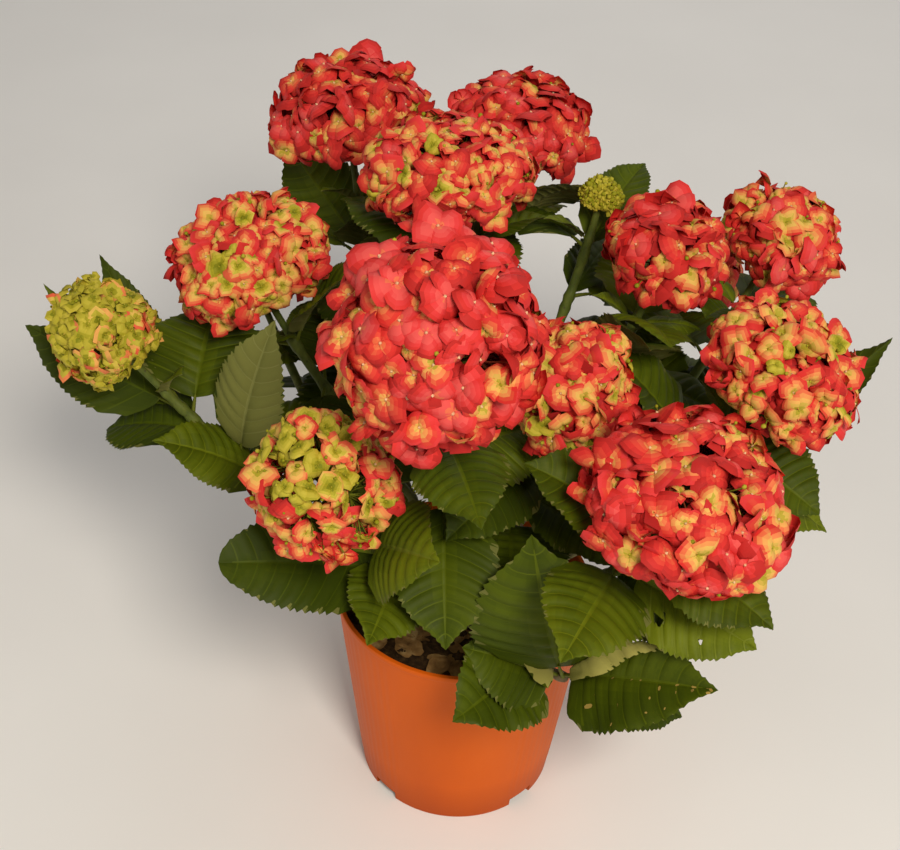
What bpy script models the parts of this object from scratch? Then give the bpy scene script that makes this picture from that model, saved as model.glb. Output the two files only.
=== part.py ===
"""A hydrangea in bloom, growing from a woody crown in a tapered plastic pot.

Metres, +Z up. The origin is the centre of the pot's flat underside, and the
front of the plant looks along -Y. Every stem, every mass of leaves and every
flower head is one closed solid, 0.3 mm clear of the piece that carries it.
"""

import math
import random

import bmesh
import bpy
from mathutils import Matrix, Vector
from mathutils.bvhtree import BVHTree

# ---------------------------------------------------------------- dimensions

GAP = 0.0003                 # clearance between pieces that touch
WELD = 1e-6                  # points nearer than this are one

POT_HEIGHT = 0.198
POT_BASE_RADIUS = 0.0818
POT_RIM_RADIUS = 0.105
POT_WALL = 0.0022
POT_FLOOR = 0.003
LIP_HEIGHT = 0.006
LIP_STEP = 0.0016            # how far the lip stands out from the wall
POT_SEGMENTS = 40
POT_SHARP_ANGLE = math.radians(30)
NOTCH_COUNT = 4              # drainage slots in the foot, between the axes
NOTCH_WIDTH = 0.024
NOTCH_HEIGHT = 0.009
NOTCH_DEPTH = 0.012

SOIL_DROP = 0.022            # soil surface below the rim
SOIL_FLAT_RADIUS = 0.034     # level place that the woody crown stands on
SOIL_ROUGHNESS = 0.003
SOIL_SEGMENTS = 24
SOIL_RINGS = (0.78, 0.56)    # rings of the rough surface, against its radius
SOIL_Z = POT_HEIGHT - SOIL_DROP

CROWN_FOOT_RADIUS = 0.031
CROWN_WAIST_RADIUS = 0.023
CROWN_DOME_RADIUS = 0.026
CROWN_DOME_RISE = 0.024      # dome centre above the soil
CROWN_FLARE_LOBES = 5
CROWN_FLARE = 0.14
CROWN_FLARE_SHARE = 0.6      # the flare fades out at this share of the dome's rise
CROWN_PROFILE = ((1.06, 0.35), (1.0, 0.62))    # radius / waist, height / dome rise
CROWN_DOME_POLARS = (84, 66, 48, 30, 12)       # rings of the dome, degrees from +Z
CROWN_SEGMENTS = 20
CROWN_SHARP_ANGLE = math.radians(50)

OUTER_RING_POLAR = math.radians(58)   # where stems leave the dome, from +Z
INNER_RING_POLAR = math.radians(24)
STEM_BASE_RADIUS = 0.0046
STEM_TOP_RADIUS = 0.0034
PEDUNCLE_RADIUS = 0.0028
STEM_SIDES = 6
LIMB_STEP = 0.026            # length of one segment of a limb
LEAVING_PULL = 0.32          # how long a shoot keeps its first direction
ARRIVING_PULL = 0.38         # and how long it takes its last one, against its reach
BARE_SHARE = 0.33            # leafless share of a shoot, from the crown up
PEDUNCLE_LENGTH = 0.020      # free length between top leaves and flower head

RISE_SHARE = 0.56            # share of a flower head's height above its widest level
CORE_SHARE = 0.80            # inner mass of a head, against its full size
CORE_SHAPE = (10, 5)         # segments and rings of the inner mass
TEST_SHAPE = (24, 14)        # and of the body that leaves keep out of
FLORET_SPAN = 0.30           # floret radius against the head's radius
FLORET_COUNT = 20
SMALL_HEAD = 0.03            # a head of a smaller radius has half as many florets
FLORET_JITTER = 0.1          # spread of their size, and of their azimuth in radians
PEDUNCLE_END = 0.2           # its end below the head's centre, against the drop
HEAD_CLEARANCE = 1.07        # body that leaves keep out of, against its full size
FLORET_POLAR_END = math.radians(118)
FLORET_CURL = 0.26           # how far sepal tips bend back, against floret radius
FLORET_ROOT = 0.36           # root depth against the head's radius

LEAF_PAIR_SPACING = 0.040
LEAF_TOP_OFFSET = 0.010
LEAF_FIRST_LENGTH = 0.104
LEAF_GROWTH = 0.010          # each pair down the stem is this much longer
LEAF_LONGEST = 0.142
LEAF_WIDTH_RATIO = 0.64
LEAF_SPREAD = 0.08           # random spread of length
LEAF_SWING = math.radians(12)    # random swing about the stem
LEAF_LIFT = math.radians(24)
LEAF_DROOP = 0.08
LEAF_ARCH = 0.10
LEAF_FOLD = 0.20             # sides of the blade stand up from the midrib
LEAF_THICKNESS = 0.0018
LEAF_CLEARANCE = 0.0012      # room kept all round a leaf
PETIOLE_SHARE = 0.15
PETIOLE_HALF = 0.0019
LEAF_STATIONS = ((PETIOLE_SHARE, 0.05), (0.38, 0.96), (0.72, 0.76))
STALK_ROOM = 0.006           # lowest leaf stalk above the bare part of a stem
OUTWARD_FACING = 0.35        # blades of hanging leaves turn their face outwards

# Shoots that end in a flower head: centre of the head (x, y, z), its diameter
# and height, its lean away from the pot's axis, ring on the crown, turn of its
# leaf pairs in degrees, and how many pairs it has besides its placed leaves.
SHOOTS = {
    "back_left": ((-0.117, 0.248, 0.481), 0.146, 0.102, 0.45, "outer", 20, 4),
    "back_middle": ((-0.029, 0.107, 0.518), 0.140, 0.086, 0.20, "inner", 60, 4),
    "back_right": ((0.024, 0.237, 0.480), 0.130, 0.103, 0.45, "outer", 35, 4),
    "left_upper": ((-0.173, 0.058, 0.462), 0.128, 0.098, 0.45, "inner", 10, 4),
    "left_outer": ((-0.270, -0.004, 0.434), 0.082, 0.092, 0.75, "outer", 45, 0),
    "front_top": ((-0.025, -0.128, 0.533), 0.148, 0.166, 0.30, "inner", 15, 3),
    "middle_right": ((0.066, -0.064, 0.451), 0.096, 0.112, 0.20, "inner", 80, 3),
    "front_left": ((-0.098, -0.127, 0.408), 0.111, 0.118, 0.60, "outer", 30, 0),
    "right_upper": ((0.134, 0.059, 0.489), 0.105, 0.087, 0.25, "inner", 50, 4),
    "right_back": ((0.228, 0.125, 0.463), 0.104, 0.087, 0.50, "outer", 0, 4),
    "right_outer": ((0.215, -0.032, 0.455), 0.128, 0.088, 0.55, "outer", 65, 2),
    "front_right": ((0.140, -0.168, 0.448), 0.152, 0.086, 0.35, "outer", 25, 3),
    "green_bud": ((0.088, 0.127, 0.494), 0.036, 0.029, 0.30, "inner", 70, 3),
    "rear_low": ((-0.040, 0.325, 0.375), 0.120, 0.092, 0.70, "outer", 15, 4),
    "rear_left": ((-0.190, 0.170, 0.370), 0.110, 0.085, 0.70, "outer", 55, 4),
    "rear_right": ((0.170, 0.225, 0.375), 0.115, 0.088, 0.70, "outer", 40, 4),
}
# Shoots without a flower: stem tip (x, y, z), lean, ring, turn, leaf pairs.
LEAFY_SHOOTS = {
    "low_front": ((0.079, -0.122, 0.226), 1.4, "outer", 40, 1),
}
GREEN_HEADS = ("left_outer", "green_bud")
YELLOW_HEADS = ("left_upper", "front_left")

# Leaves with a place of their own: shoot, distance of the root below the stem's
# upper end, leaf tip (x, y, z), width, roll of the blade in degrees.
PLACED_LEAVES = (
    ("left_outer", 0.020, (-0.341, 0.029, 0.415), 0.060, 150),
    ("left_outer", 0.030, (-0.339, 0.081, 0.417), 0.036, 180),
    ("left_outer", 0.020, (-0.297, 0.098, 0.436), 0.036, 180),
    ("left_outer", 0.030, (-0.204, 0.078, 0.409), 0.100, 20),
    ("left_outer", 0.050, (-0.284, 0.012, 0.331), 0.074, 0),
    ("left_outer", 0.080, (-0.146, -0.009, 0.460), 0.056, 60),
    ("left_outer", 0.110, (-0.233, -0.052, 0.377), 0.056, -30),
    ("front_left", 0.080, (-0.177, -0.121, 0.324), 0.076, -30),
    ("front_left", 0.070, (-0.066, -0.167, 0.296), 0.064, -30),
    ("front_left", 0.030, (-0.017, -0.171, 0.385), 0.076, 30),
    ("front_left", 0.070, (-0.104, -0.046, 0.382), 0.060, 0),
    ("low_front", 0.008, (0.177, -0.203, 0.310), 0.084, 40),
    ("low_front", 0.002, (0.044, -0.142, 0.388), 0.110, -60),
    ("low_front", 0.006, (0.001, -0.137, 0.268), 0.074, -20),
    ("low_front", 0.040, (-0.003, -0.185, 0.241), 0.078, -20),
    ("front_right", 0.050, (0.202, -0.184, 0.332), 0.070, 30),
    ("front_right", 0.070, (0.168, -0.154, 0.307), 0.074, 0),
    ("right_outer", 0.020, (0.252, -0.079, 0.365), 0.070, 30),
    ("right_outer", 0.030, (0.307, 0.036, 0.442), 0.048, 180),
    ("back_left", 0.040, (-0.177, 0.301, 0.429), 0.070, 150),
    ("back_left", 0.050, (-0.077, 0.125, 0.465), 0.060, 0),
    ("green_bud", 0.020, (0.126, 0.197, 0.485), 0.048, 0),
    ("green_bud", 0.060, (0.111, 0.193, 0.417), 0.044, 0),
    ("right_upper", 0.050, (0.118, -0.059, 0.488), 0.064, 0),
)

# No leaf may cross this slanting shaft, where the photo shows sky to the right
# of the largest head: its corners beside that head, and behind the plant.
SKY_SHAFT = (
    ((0.027, -0.013, 0.546), (0.035, -0.008, 0.553), (0.043, -0.015, 0.544),
     (0.053, -0.031, 0.524), (0.056, -0.046, 0.505), (0.046, -0.046, 0.505),
     (0.032, -0.035, 0.520)),
    ((0.043, 0.530, 0.199), (0.054, 0.538, 0.208), (0.067, 0.527, 0.195),
     (0.082, 0.502, 0.164), (0.088, 0.478, 0.134), (0.071, 0.477, 0.134),
     (0.050, 0.496, 0.157)),
)

# A leaf that would touch something is tried again with each of these changes
# of azimuth and lift in degrees, and of length, and is then left out.
LEAF_TRIES = (
    (0, 0, 1.0), (0, -14, 1.0), (16, 0, 1.0), (-16, 0, 1.0), (0, -30, 1.0),
    (24, -14, 0.9), (-24, -14, 0.9), (0, 16, 0.9), (34, -8, 0.85),
    (-34, -8, 0.85), (0, -22, 0.8), (45, -24, 0.75), (-45, -24, 0.75),
)
PLACED_TRIES = (
    (0, 0, 1.0), (0, -8, 1.0), (10, 0, 0.97), (-10, 0, 0.97), (0, 8, 0.95), (0, -16, 0.92),
)

UP = Vector((0, 0, 1))
SEED = 20

MATERIALS = {
    "pot_plastic": ((0.55, 0.13, 0.04), 0.45),
    "soil": ((0.035, 0.018, 0.010), 0.95),
    "wood": ((0.16, 0.10, 0.055), 0.85),
    "stem_green": ((0.13, 0.17, 0.04), 0.55),
    "foliage": ((0.045, 0.085, 0.012), 0.50),
    "sepals_red": ((0.72, 0.07, 0.06), 0.55),
    "sepals_yellow": ((0.62, 0.24, 0.05), 0.55),
    "sepals_green": ((0.36, 0.38, 0.05), 0.55),
}


# ---------------------------------------------------------------- mesh helpers

def clear_scene():
    """Remove every object so that the model starts from nothing."""
    for obj in list(bpy.data.objects):
        bpy.data.objects.remove(obj, do_unlink=True)


def material(name):
    """Return the named Principled material, made once."""
    found = bpy.data.materials.get(name)
    if found:
        return found
    colour, roughness = MATERIALS[name]
    made = bpy.data.materials.new(name)
    made.use_nodes = True
    shader = made.node_tree.nodes["Principled BSDF"]
    shader.inputs["Base Color"].default_value = (*colour, 1.0)
    shader.inputs["Roughness"].default_value = roughness
    shader.inputs["Metallic"].default_value = 0.0
    return made


def mesh_object(name, verts, faces, slot, collection=None):
    """Make an object from points and faces, its normals pointing out."""
    mesh = bpy.data.meshes.new(name)
    mesh.from_pydata([tuple(v) for v in verts], [], faces)
    shell = bmesh.new()
    shell.from_mesh(mesh)
    bmesh.ops.recalc_face_normals(shell, faces=shell.faces)
    shell.to_mesh(mesh)
    shell.free()
    mesh.materials.append(material(slot))
    obj = bpy.data.objects.new(name, mesh)
    (collection or bpy.context.scene.collection).objects.link(obj)
    return obj


def lofted(rings, close_ends=True):
    """Join rings of equal length into a tube, with flat ends."""
    count = len(rings[0])
    verts = [point for ring in rings for point in ring]
    faces = []
    for row in range(len(rings) - 1):
        for side in range(count):
            after = (side + 1) % count
            low = row * count
            high = low + count
            faces.append((low + side, low + after, high + after, high + side))
    if close_ends:
        faces.append(tuple(reversed(range(count))))
        faces.append(tuple(range(len(verts) - count, len(verts))))
    return verts, faces


def turned_rings(profile, segments, shape=None):
    """Turn (radius, z) pairs into rings; shape(angle, radius, z) may alter them."""
    rings = []
    for radius, height in profile:
        ring = []
        for step in range(segments):
            angle = 2 * math.pi * step / segments
            r, z = (radius, height) if shape is None else shape(angle, radius, height)
            ring.append(Vector((r * math.cos(angle), r * math.sin(angle), z)))
        rings.append(ring)
    return rings


def combined(target, parts, slot, operation):
    """Fuse the parts into the target, or cut them from it, in one Boolean."""
    group = bpy.data.collections.new(target.name + "_parts")
    bpy.context.scene.collection.children.link(group)
    for verts, faces in parts:
        mesh_object(target.name + "_part", verts, faces, slot, group)
    boolean = target.modifiers.new("combine", "BOOLEAN")
    boolean.operation = operation
    boolean.operand_type = "COLLECTION"
    boolean.collection = group
    boolean.solver = "EXACT"
    bpy.context.view_layer.update()
    result = bpy.data.meshes.new_from_object(
        target.evaluated_get(bpy.context.evaluated_depsgraph_get()))
    target.modifiers.clear()
    target.data = result
    for obj in list(group.objects):
        bpy.data.objects.remove(obj, do_unlink=True)
    bpy.data.collections.remove(group)
    keep_largest_shell(result)


def keep_largest_shell(mesh):
    """Fill sealed hollows and drop loose scraps: only the outer shell stays."""
    shell = bmesh.new()
    shell.from_mesh(mesh)
    bmesh.ops.remove_doubles(shell, verts=shell.verts, dist=WELD)
    bmesh.ops.dissolve_degenerate(shell, edges=shell.edges, dist=WELD)
    unseen = set(shell.verts)
    islands = []
    while unseen:
        front = [unseen.pop()]
        island = set(front)
        while front:
            vert = front.pop()
            for edge in vert.link_edges:
                other = edge.other_vert(vert)
                if other in unseen:
                    unseen.discard(other)
                    island.add(other)
                    front.append(other)
        islands.append(island)
    islands.sort(key=len, reverse=True)
    scraps = [vert for island in islands[1:] for vert in island]
    bmesh.ops.delete(shell, geom=scraps, context="VERTS")
    shell.to_mesh(mesh)
    shell.free()


# ---------------------------------------------------------------- pot and soil

def wall_radius(height):
    """Outer radius of the pot's straight wall at a height."""
    top = POT_HEIGHT - LIP_HEIGHT
    share = min(height, top) / top
    return POT_BASE_RADIUS + (POT_RIM_RADIUS - LIP_STEP - POT_BASE_RADIUS) * share


def make_pot():
    """Tapered pot with a thin lip, a flat floor and slots in its foot."""
    lip_z = POT_HEIGHT - LIP_HEIGHT
    inner_rim = wall_radius(lip_z) - POT_WALL
    profile = (
        (POT_BASE_RADIUS, 0.0),
        (wall_radius(lip_z), lip_z),
        (POT_RIM_RADIUS, lip_z + LIP_STEP),
        (POT_RIM_RADIUS, POT_HEIGHT - LIP_STEP),
        (POT_RIM_RADIUS - LIP_STEP, POT_HEIGHT),
        (inner_rim, POT_HEIGHT),
        (inner_rim, lip_z),
        (wall_radius(POT_FLOOR) - POT_WALL, POT_FLOOR),
    )
    verts, faces = lofted(turned_rings(profile, POT_SEGMENTS))
    pot = mesh_object("pot", verts, faces, "pot_plastic")
    notches = []
    for index in range(NOTCH_COUNT):
        notches.append(notch_block(2 * math.pi * (index + 0.5) / NOTCH_COUNT))
    combined(pot, notches, "pot_plastic", "DIFFERENCE")
    pot.data.shade_smooth()
    pot.data.set_sharp_from_angle(angle=POT_SHARP_ANGLE)
    return pot


def notch_block(angle):
    """Block that cuts one drainage slot through the foot of the wall."""
    inner = POT_BASE_RADIUS - NOTCH_DEPTH
    outer = POT_BASE_RADIUS + NOTCH_DEPTH
    half = NOTCH_WIDTH / 2
    turn = Matrix.Rotation(angle, 3, "Z")
    rings = []
    for z in (-NOTCH_HEIGHT, NOTCH_HEIGHT):
        corners = ((inner, -half), (outer, -half), (outer, half), (inner, half))
        rings.append([turn @ Vector((x, y, z)) for x, y in corners])
    return lofted(rings)


def make_soil():
    """Soil that fills the pot, level under the crown and rough around it."""
    bottom = POT_FLOOR + GAP

    def inner_radius(height):
        return wall_radius(height) - POT_WALL - GAP

    profile = [(inner_radius(bottom), bottom), (inner_radius(SOIL_Z) - GAP, SOIL_Z)]
    for share in SOIL_RINGS:
        profile.append((inner_radius(SOIL_Z) * share, SOIL_Z))
    profile.append((SOIL_FLAT_RADIUS, SOIL_Z))
    rings = turned_rings(profile, SOIL_SEGMENTS)
    rng = random.Random(SEED)
    for ring in rings[1:-1]:
        for point in ring:
            point.z += rng.uniform(-SOIL_ROUGHNESS, SOIL_ROUGHNESS)
    verts, faces = lofted(rings)
    return mesh_object("soil", verts, faces, "soil")


def make_crown():
    """Woody crown: flat foot, lobed flare, narrow waist and rounded top."""
    foot_z = SOIL_Z + GAP
    centre = SOIL_Z + CROWN_DOME_RISE

    def flare(angle, radius, height):
        fade = max(0.0, 1 - (height - foot_z) / (CROWN_FLARE_SHARE * CROWN_DOME_RISE))
        return radius * (1 + CROWN_FLARE * fade * math.cos(CROWN_FLARE_LOBES * angle)), height

    profile = [(CROWN_FOOT_RADIUS / (1 + CROWN_FLARE), foot_z)]
    for wide, high in CROWN_PROFILE:
        profile.append((CROWN_WAIST_RADIUS * wide, foot_z + CROWN_DOME_RISE * high))
    for degrees in CROWN_DOME_POLARS:
        polar = math.radians(degrees)
        profile.append((CROWN_DOME_RADIUS * math.sin(polar),
                        centre + CROWN_DOME_RADIUS * math.cos(polar)))
    verts, faces = lofted(turned_rings(profile, CROWN_SEGMENTS, flare))
    crown = mesh_object("crown", verts, faces, "wood")
    crown.data.shade_smooth()
    crown.data.set_sharp_from_angle(angle=CROWN_SHARP_ANGLE)
    return crown


# ---------------------------------------------------------------- shoots

class Shoot:
    """The curve of one shoot, from the crown up to its flower head or tip."""

    SAMPLES = 60

    def __init__(self, name, goal, lean, ring, turn, pairs, diameter=0.0, height=0.0):
        self.name = name
        self.goal = Vector(goal)
        self.ring = ring
        self.turn = math.radians(turn)
        self.pairs = pairs
        self.radius = diameter / 2
        self.rise = height * RISE_SHARE
        self.drop = height - self.rise
        out = Vector((self.goal.x, self.goal.y, 0)).normalized()
        self.axis = (out * lean + UP).normalized()
        self.azimuth = math.atan2(self.goal.y, self.goal.x)
        self.leaf_rng = random.Random(name + " leaves")
        self.bloom_rng = random.Random(name + " bloom")

    def grow(self, start_azimuth):
        """Bend the curve from its place on the crown's dome to its goal."""
        polar = OUTER_RING_POLAR if self.ring == "outer" else INNER_RING_POLAR
        leave = Vector((math.sin(polar) * math.cos(start_azimuth),
                        math.sin(polar) * math.sin(start_azimuth),
                        math.cos(polar)))
        dome = Vector((0, 0, SOIL_Z + CROWN_DOME_RISE))
        start = dome + leave * (CROWN_DOME_RADIUS + GAP)
        reach = (self.goal - start).length
        corners = (start, start + leave * LEAVING_PULL * reach,
                   self.goal - self.axis * ARRIVING_PULL * reach, self.goal)
        self.points = [bezier(corners, i / self.SAMPLES) for i in range(self.SAMPLES + 1)]
        self.lengths = [0.0]
        for before, after in zip(self.points, self.points[1:]):
            self.lengths.append(self.lengths[-1] + (after - before).length)
        self.length = self.lengths[-1]
        self.bare_end = BARE_SHARE * self.length
        self.leafy_end = self.length - (self.drop + PEDUNCLE_LENGTH if self.radius else 0)

    def at(self, distance):
        """Point and direction at a distance along the curve."""
        distance = min(max(distance, 0.0), self.length)
        index = 0
        while index < self.SAMPLES - 1 and self.lengths[index + 1] < distance:
            index += 1
        before, after = self.points[index], self.points[index + 1]
        step = self.lengths[index + 1] - self.lengths[index]
        share = (distance - self.lengths[index]) / step
        low = self.points[max(index - 1, 0)]
        high = self.points[min(index + 2, self.SAMPLES)]
        return before.lerp(after, share), (high - low).normalized()

    def stem_radius(self, distance):
        """Radius of the shoot's stem at a distance from the crown."""
        share = min(distance / self.length, 1.0)
        return STEM_BASE_RADIUS + (STEM_TOP_RADIUS - STEM_BASE_RADIUS) * share

    def limb(self, start, end, sides=STEM_SIDES, radius=None):
        """Tapering tube with flat ends along a stretch of the curve."""
        steps = max(2, round((end - start) / LIMB_STEP))
        rings = []
        side = None
        for i in range(steps + 1):
            distance = start + (end - start) * i / steps
            centre, along = self.at(distance)
            side = along.orthogonal() if side is None else side - along * side.dot(along)
            side.normalize()
            other = along.cross(side)
            r = radius or self.stem_radius(distance)
            rings.append([centre + (side * math.cos(a) + other * math.sin(a)) * r
                          for a in (2 * math.pi * k / sides for k in range(sides))])
        return lofted(rings)


def bezier(corners, t):
    """Point on a cubic curve."""
    a, b, c, d = corners
    s = 1 - t
    return a * s ** 3 + b * 3 * s * s * t + c * 3 * s * t * t + d * t ** 3


def spread_on_crown(shoots):
    """Give the shoots of one ring even places on the crown, in their order."""
    ordered = sorted(shoots, key=lambda shoot: shoot.azimuth)
    slot = 2 * math.pi / len(ordered)
    offset = sum(shoot.azimuth - i * slot for i, shoot in enumerate(ordered)) / len(ordered)
    for i, shoot in enumerate(ordered):
        shoot.grow(offset + i * slot)


def all_shoots():
    """Every shoot, grown to its curve."""
    shoots = {}
    for name, (goal, diameter, height, lean, ring, turn, pairs) in SHOOTS.items():
        shoots[name] = Shoot(name, goal, lean, ring, turn, pairs, diameter, height)
    for name, (goal, lean, ring, turn, pairs) in LEAFY_SHOOTS.items():
        shoots[name] = Shoot(name, goal, lean, ring, turn, pairs)
    for ring in ("outer", "inner"):
        spread_on_crown([shoot for shoot in shoots.values() if shoot.ring == ring])
    return shoots


# ---------------------------------------------------------------- flower heads

def head_turn(shoot):
    """Rotation that sets a head's own +Z along its axis."""
    return UP.rotation_difference(shoot.axis).to_matrix()


def dome_point(shoot, direction, share):
    """Point of the head's outline in a direction, in the head's own frame."""
    depth = shoot.rise if direction.z > 0 else shoot.drop
    wide = shoot.radius * share
    return Vector((direction.x * wide, direction.y * wide, direction.z * depth * share))


def dome_shell(shoot, share, shape):
    """Rounded body of a head: a ball, drawn out above and below to its height."""
    ball = bmesh.new()
    bmesh.ops.create_uvsphere(ball, u_segments=shape[0], v_segments=shape[1], radius=1.0)
    turn = head_turn(shoot)
    verts = [shoot.goal + turn @ dome_point(shoot, v.co, share) for v in ball.verts]
    faces = [tuple(v.index for v in face.verts) for face in ball.faces]
    ball.free()
    return verts, faces


def floret(shoot, polar, azimuth, spin, size):
    """Four-sepalled floret with its root sunk in the head's inner mass."""
    direction = Vector((math.sin(polar) * math.cos(azimuth),
                        math.sin(polar) * math.sin(azimuth), math.cos(polar)))
    depth = (shoot.rise if direction.z > 0 else shoot.drop) / shoot.radius
    facing = Vector((direction.x, direction.y, direction.z / depth)).normalized()
    centre = dome_point(shoot, direction, 1.0)
    span = FLORET_SPAN * shoot.radius * size
    side = facing.orthogonal().normalized()
    other = facing.cross(side)
    tips = []
    for k in range(4):
        angle = spin + k * math.pi / 2
        sideways = side * math.cos(angle) + other * math.sin(angle)
        tips.append(centre + sideways * span - facing * FLORET_CURL * span)
    points = tips + [centre, centre - facing * FLORET_ROOT * shoot.radius]
    turn = head_turn(shoot)
    verts = [shoot.goal + turn @ point for point in points]
    faces = []
    for k in range(4):
        after = (k + 1) % 4
        faces.append((k, after, 4))
        faces.append((after, k, 5))
    return verts, faces


def make_bloom(shoot, slot):
    """Flower head: flower stalk, inner mass and florets all over its dome."""
    start = shoot.leafy_end + GAP
    inside = shoot.length - PEDUNCLE_END * shoot.drop
    parts = [shoot.limb(start, inside, radius=PEDUNCLE_RADIUS)]
    count = FLORET_COUNT if shoot.radius > SMALL_HEAD else FLORET_COUNT // 2
    golden = math.pi * (3 - math.sqrt(5))
    for i in range(count):
        height = 1 - (1 - math.cos(FLORET_POLAR_END)) * (i + 0.5) / count
        polar = math.acos(height)
        azimuth = i * golden + shoot.bloom_rng.uniform(-FLORET_JITTER, FLORET_JITTER)
        spin = shoot.bloom_rng.uniform(0, math.pi / 2)
        size = shoot.bloom_rng.uniform(1 - FLORET_JITTER, 1 + FLORET_JITTER)
        parts.append(floret(shoot, polar, azimuth, spin, size))
    verts, faces = dome_shell(shoot, CORE_SHARE, CORE_SHAPE)
    core = mesh_object("bloom_" + shoot.name, verts, faces, slot)
    combined(core, parts, slot, "UNION")


# ---------------------------------------------------------------- leaves

def leaf_blade(root, tip, width, roll, stalk=True, swell=0.0):
    """Closed blade with its stalk, from the root point to the tip.

    The midrib arches towards the blade's face, and both sides rise from it.
    The blade alone, or swollen all round, serves the tests of contact.
    """
    chord = tip - root
    length = chord.length
    along = chord.normalized()
    outward = Vector((root.x + tip.x, root.y + tip.y, 0)).normalized()
    facing = UP + outward * OUTWARD_FACING
    facing = (facing - along * facing.dot(along)).normalized()
    facing = Matrix.Rotation(math.radians(roll), 3, along) @ facing
    across = along.cross(facing)

    def midrib(t):
        return root + chord * t + facing * (4 * LEAF_ARCH * length * t * (1 - t))

    stations = [(0.0, 2 * PETIOLE_HALF / width)] if stalk else []
    stations += [(t, max(share, 2 * PETIOLE_HALF / width)) for t, share in LEAF_STATIONS]
    rims, tops, lows = [], [], []
    for t, share in stations:
        half = share * width / 2 + swell
        rise = facing * LEAF_FOLD * half
        middle = midrib(t)
        rims.append((middle - across * half + rise, middle + across * half + rise))
        thick = swell + (PETIOLE_HALF if t <= PETIOLE_SHARE else LEAF_THICKNESS / 2)
        tops.append(middle + facing * thick)
        lows.append(middle - facing * thick)
    count = len(stations)
    verts = [rim[0] for rim in rims] + [rim[1] for rim in rims] + tops + lows + [tip]
    left, right, top, low, end = 0, count, 2 * count, 3 * count, 4 * count
    faces = [(left, top, right, low)]
    for i in range(count - 1):
        for edge in (left, right):
            faces.append((edge + i, edge + i + 1, top + i + 1, top + i))
            faces.append((edge + i, edge + i + 1, low + i + 1, low + i))
    last = count - 1
    for edge in (left, right):
        faces.append((edge + last, end, top + last))
        faces.append((edge + last, end, low + last))
    return verts, faces


def tree_of(shape):
    """Search tree over a shape's faces, for the tests of contact."""
    verts, faces = shape
    return BVHTree.FromPolygons([tuple(v) for v in verts], faces)


def turned_tip(root, tip, azimuth, lift, scale):
    """Swing a leaf about its root: sideways, upwards, and in length."""
    chord = Matrix.Rotation(math.radians(azimuth), 3, "Z") @ (tip - root)
    level = UP.cross(chord)
    if level.length > WELD:
        chord = Matrix.Rotation(-math.radians(lift), 3, level.normalized()) @ chord
    return root + chord * scale


class Foliage:
    """The leaves of the whole plant, each clear of everything before it."""

    def __init__(self, shoots, fixed):
        self.shoots = shoots
        self.fixed = [tree_of(shape) for shape in fixed]
        self.limbs = {}
        for shoot in shoots.values():
            trees = [tree_of(shoot.limb(0.0, shoot.leafy_end))]
            if shoot.radius:
                trees.append(tree_of(dome_shell(shoot, HEAD_CLEARANCE, TEST_SHAPE)))
                trees.append(tree_of(shoot.limb(shoot.leafy_end, shoot.length)))
            self.limbs[shoot.name] = trees
        self.leaves = {name: [] for name in shoots}
        self.blades = []

    def is_clear(self, shoot, whole, blade):
        """True if the leaf touches no other piece and its blade no own piece."""
        for name, trees in self.limbs.items():
            tested = blade if name == shoot.name else whole
            if any(tree.overlap(tested) for tree in trees):
                return False
        if any(tree.overlap(whole) for tree in self.fixed):
            return False
        for owner, other_whole, other_blade in self.blades:
            if owner == shoot.name:
                touching = other_blade.overlap(blade)
            else:
                touching = other_whole.overlap(whole)
            if touching:
                return False
        return True

    def add(self, shoot, root, tip, width, roll, tries):
        """Keep the first clear try of one leaf, or leave it out."""
        for azimuth, lift, scale in tries:
            end = turned_tip(root, tip, azimuth, lift, scale)
            whole = tree_of(leaf_blade(root, end, width, roll, swell=LEAF_CLEARANCE))
            blade = tree_of(leaf_blade(root, end, width, roll, False, LEAF_CLEARANCE))
            if end.z < SOIL_Z or not self.is_clear(shoot, whole, blade):
                continue
            self.leaves[shoot.name].append(leaf_blade(root, end, width, roll))
            self.blades.append((shoot.name, whole, blade))
            return True
        return False

    def place(self):
        """First the leaves with places of their own, then the pairs by rule."""
        for name, below, tip, width, roll in PLACED_LEAVES:
            shoot = self.shoots[name]
            root, _ = shoot.at(max(shoot.leafy_end - below, shoot.bare_end + STALK_ROOM))
            self.add(shoot, root, Vector(tip), width, roll, PLACED_TRIES)
        for shoot in self.shoots.values():
            self.add_pairs(shoot)

    def add_pairs(self, shoot):
        """Opposite leaves, each pair turned a quarter from the one above."""
        lowest = shoot.bare_end + LEAF_TOP_OFFSET
        for pair in range(shoot.pairs):
            distance = max(shoot.leafy_end - LEAF_TOP_OFFSET - LEAF_PAIR_SPACING * pair, lowest)
            root, along = shoot.at(distance)
            side = (UP - along * UP.dot(along)).normalized()
            for half in range(2):
                angle = shoot.turn + pair * math.pi / 2 + half * math.pi
                angle += shoot.leaf_rng.uniform(-LEAF_SWING, LEAF_SWING)
                length = min(LEAF_FIRST_LENGTH + LEAF_GROWTH * pair, LEAF_LONGEST)
                length *= shoot.leaf_rng.uniform(1 - LEAF_SPREAD, 1 + LEAF_SPREAD)
                outward = Matrix.Rotation(angle, 3, along) @ side
                lean = outward * math.cos(LEAF_LIFT) + along * math.sin(LEAF_LIFT)
                chord = (lean - UP * LEAF_DROOP).normalized() * length
                self.add(shoot, root, root + chord, length * LEAF_WIDTH_RATIO, 0, LEAF_TRIES)


# ---------------------------------------------------------------- the plant

def shape_of(obj):
    """Points and faces of a made object."""
    return ([v.co.copy() for v in obj.data.vertices],
            [tuple(face.vertices) for face in obj.data.polygons])


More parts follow.
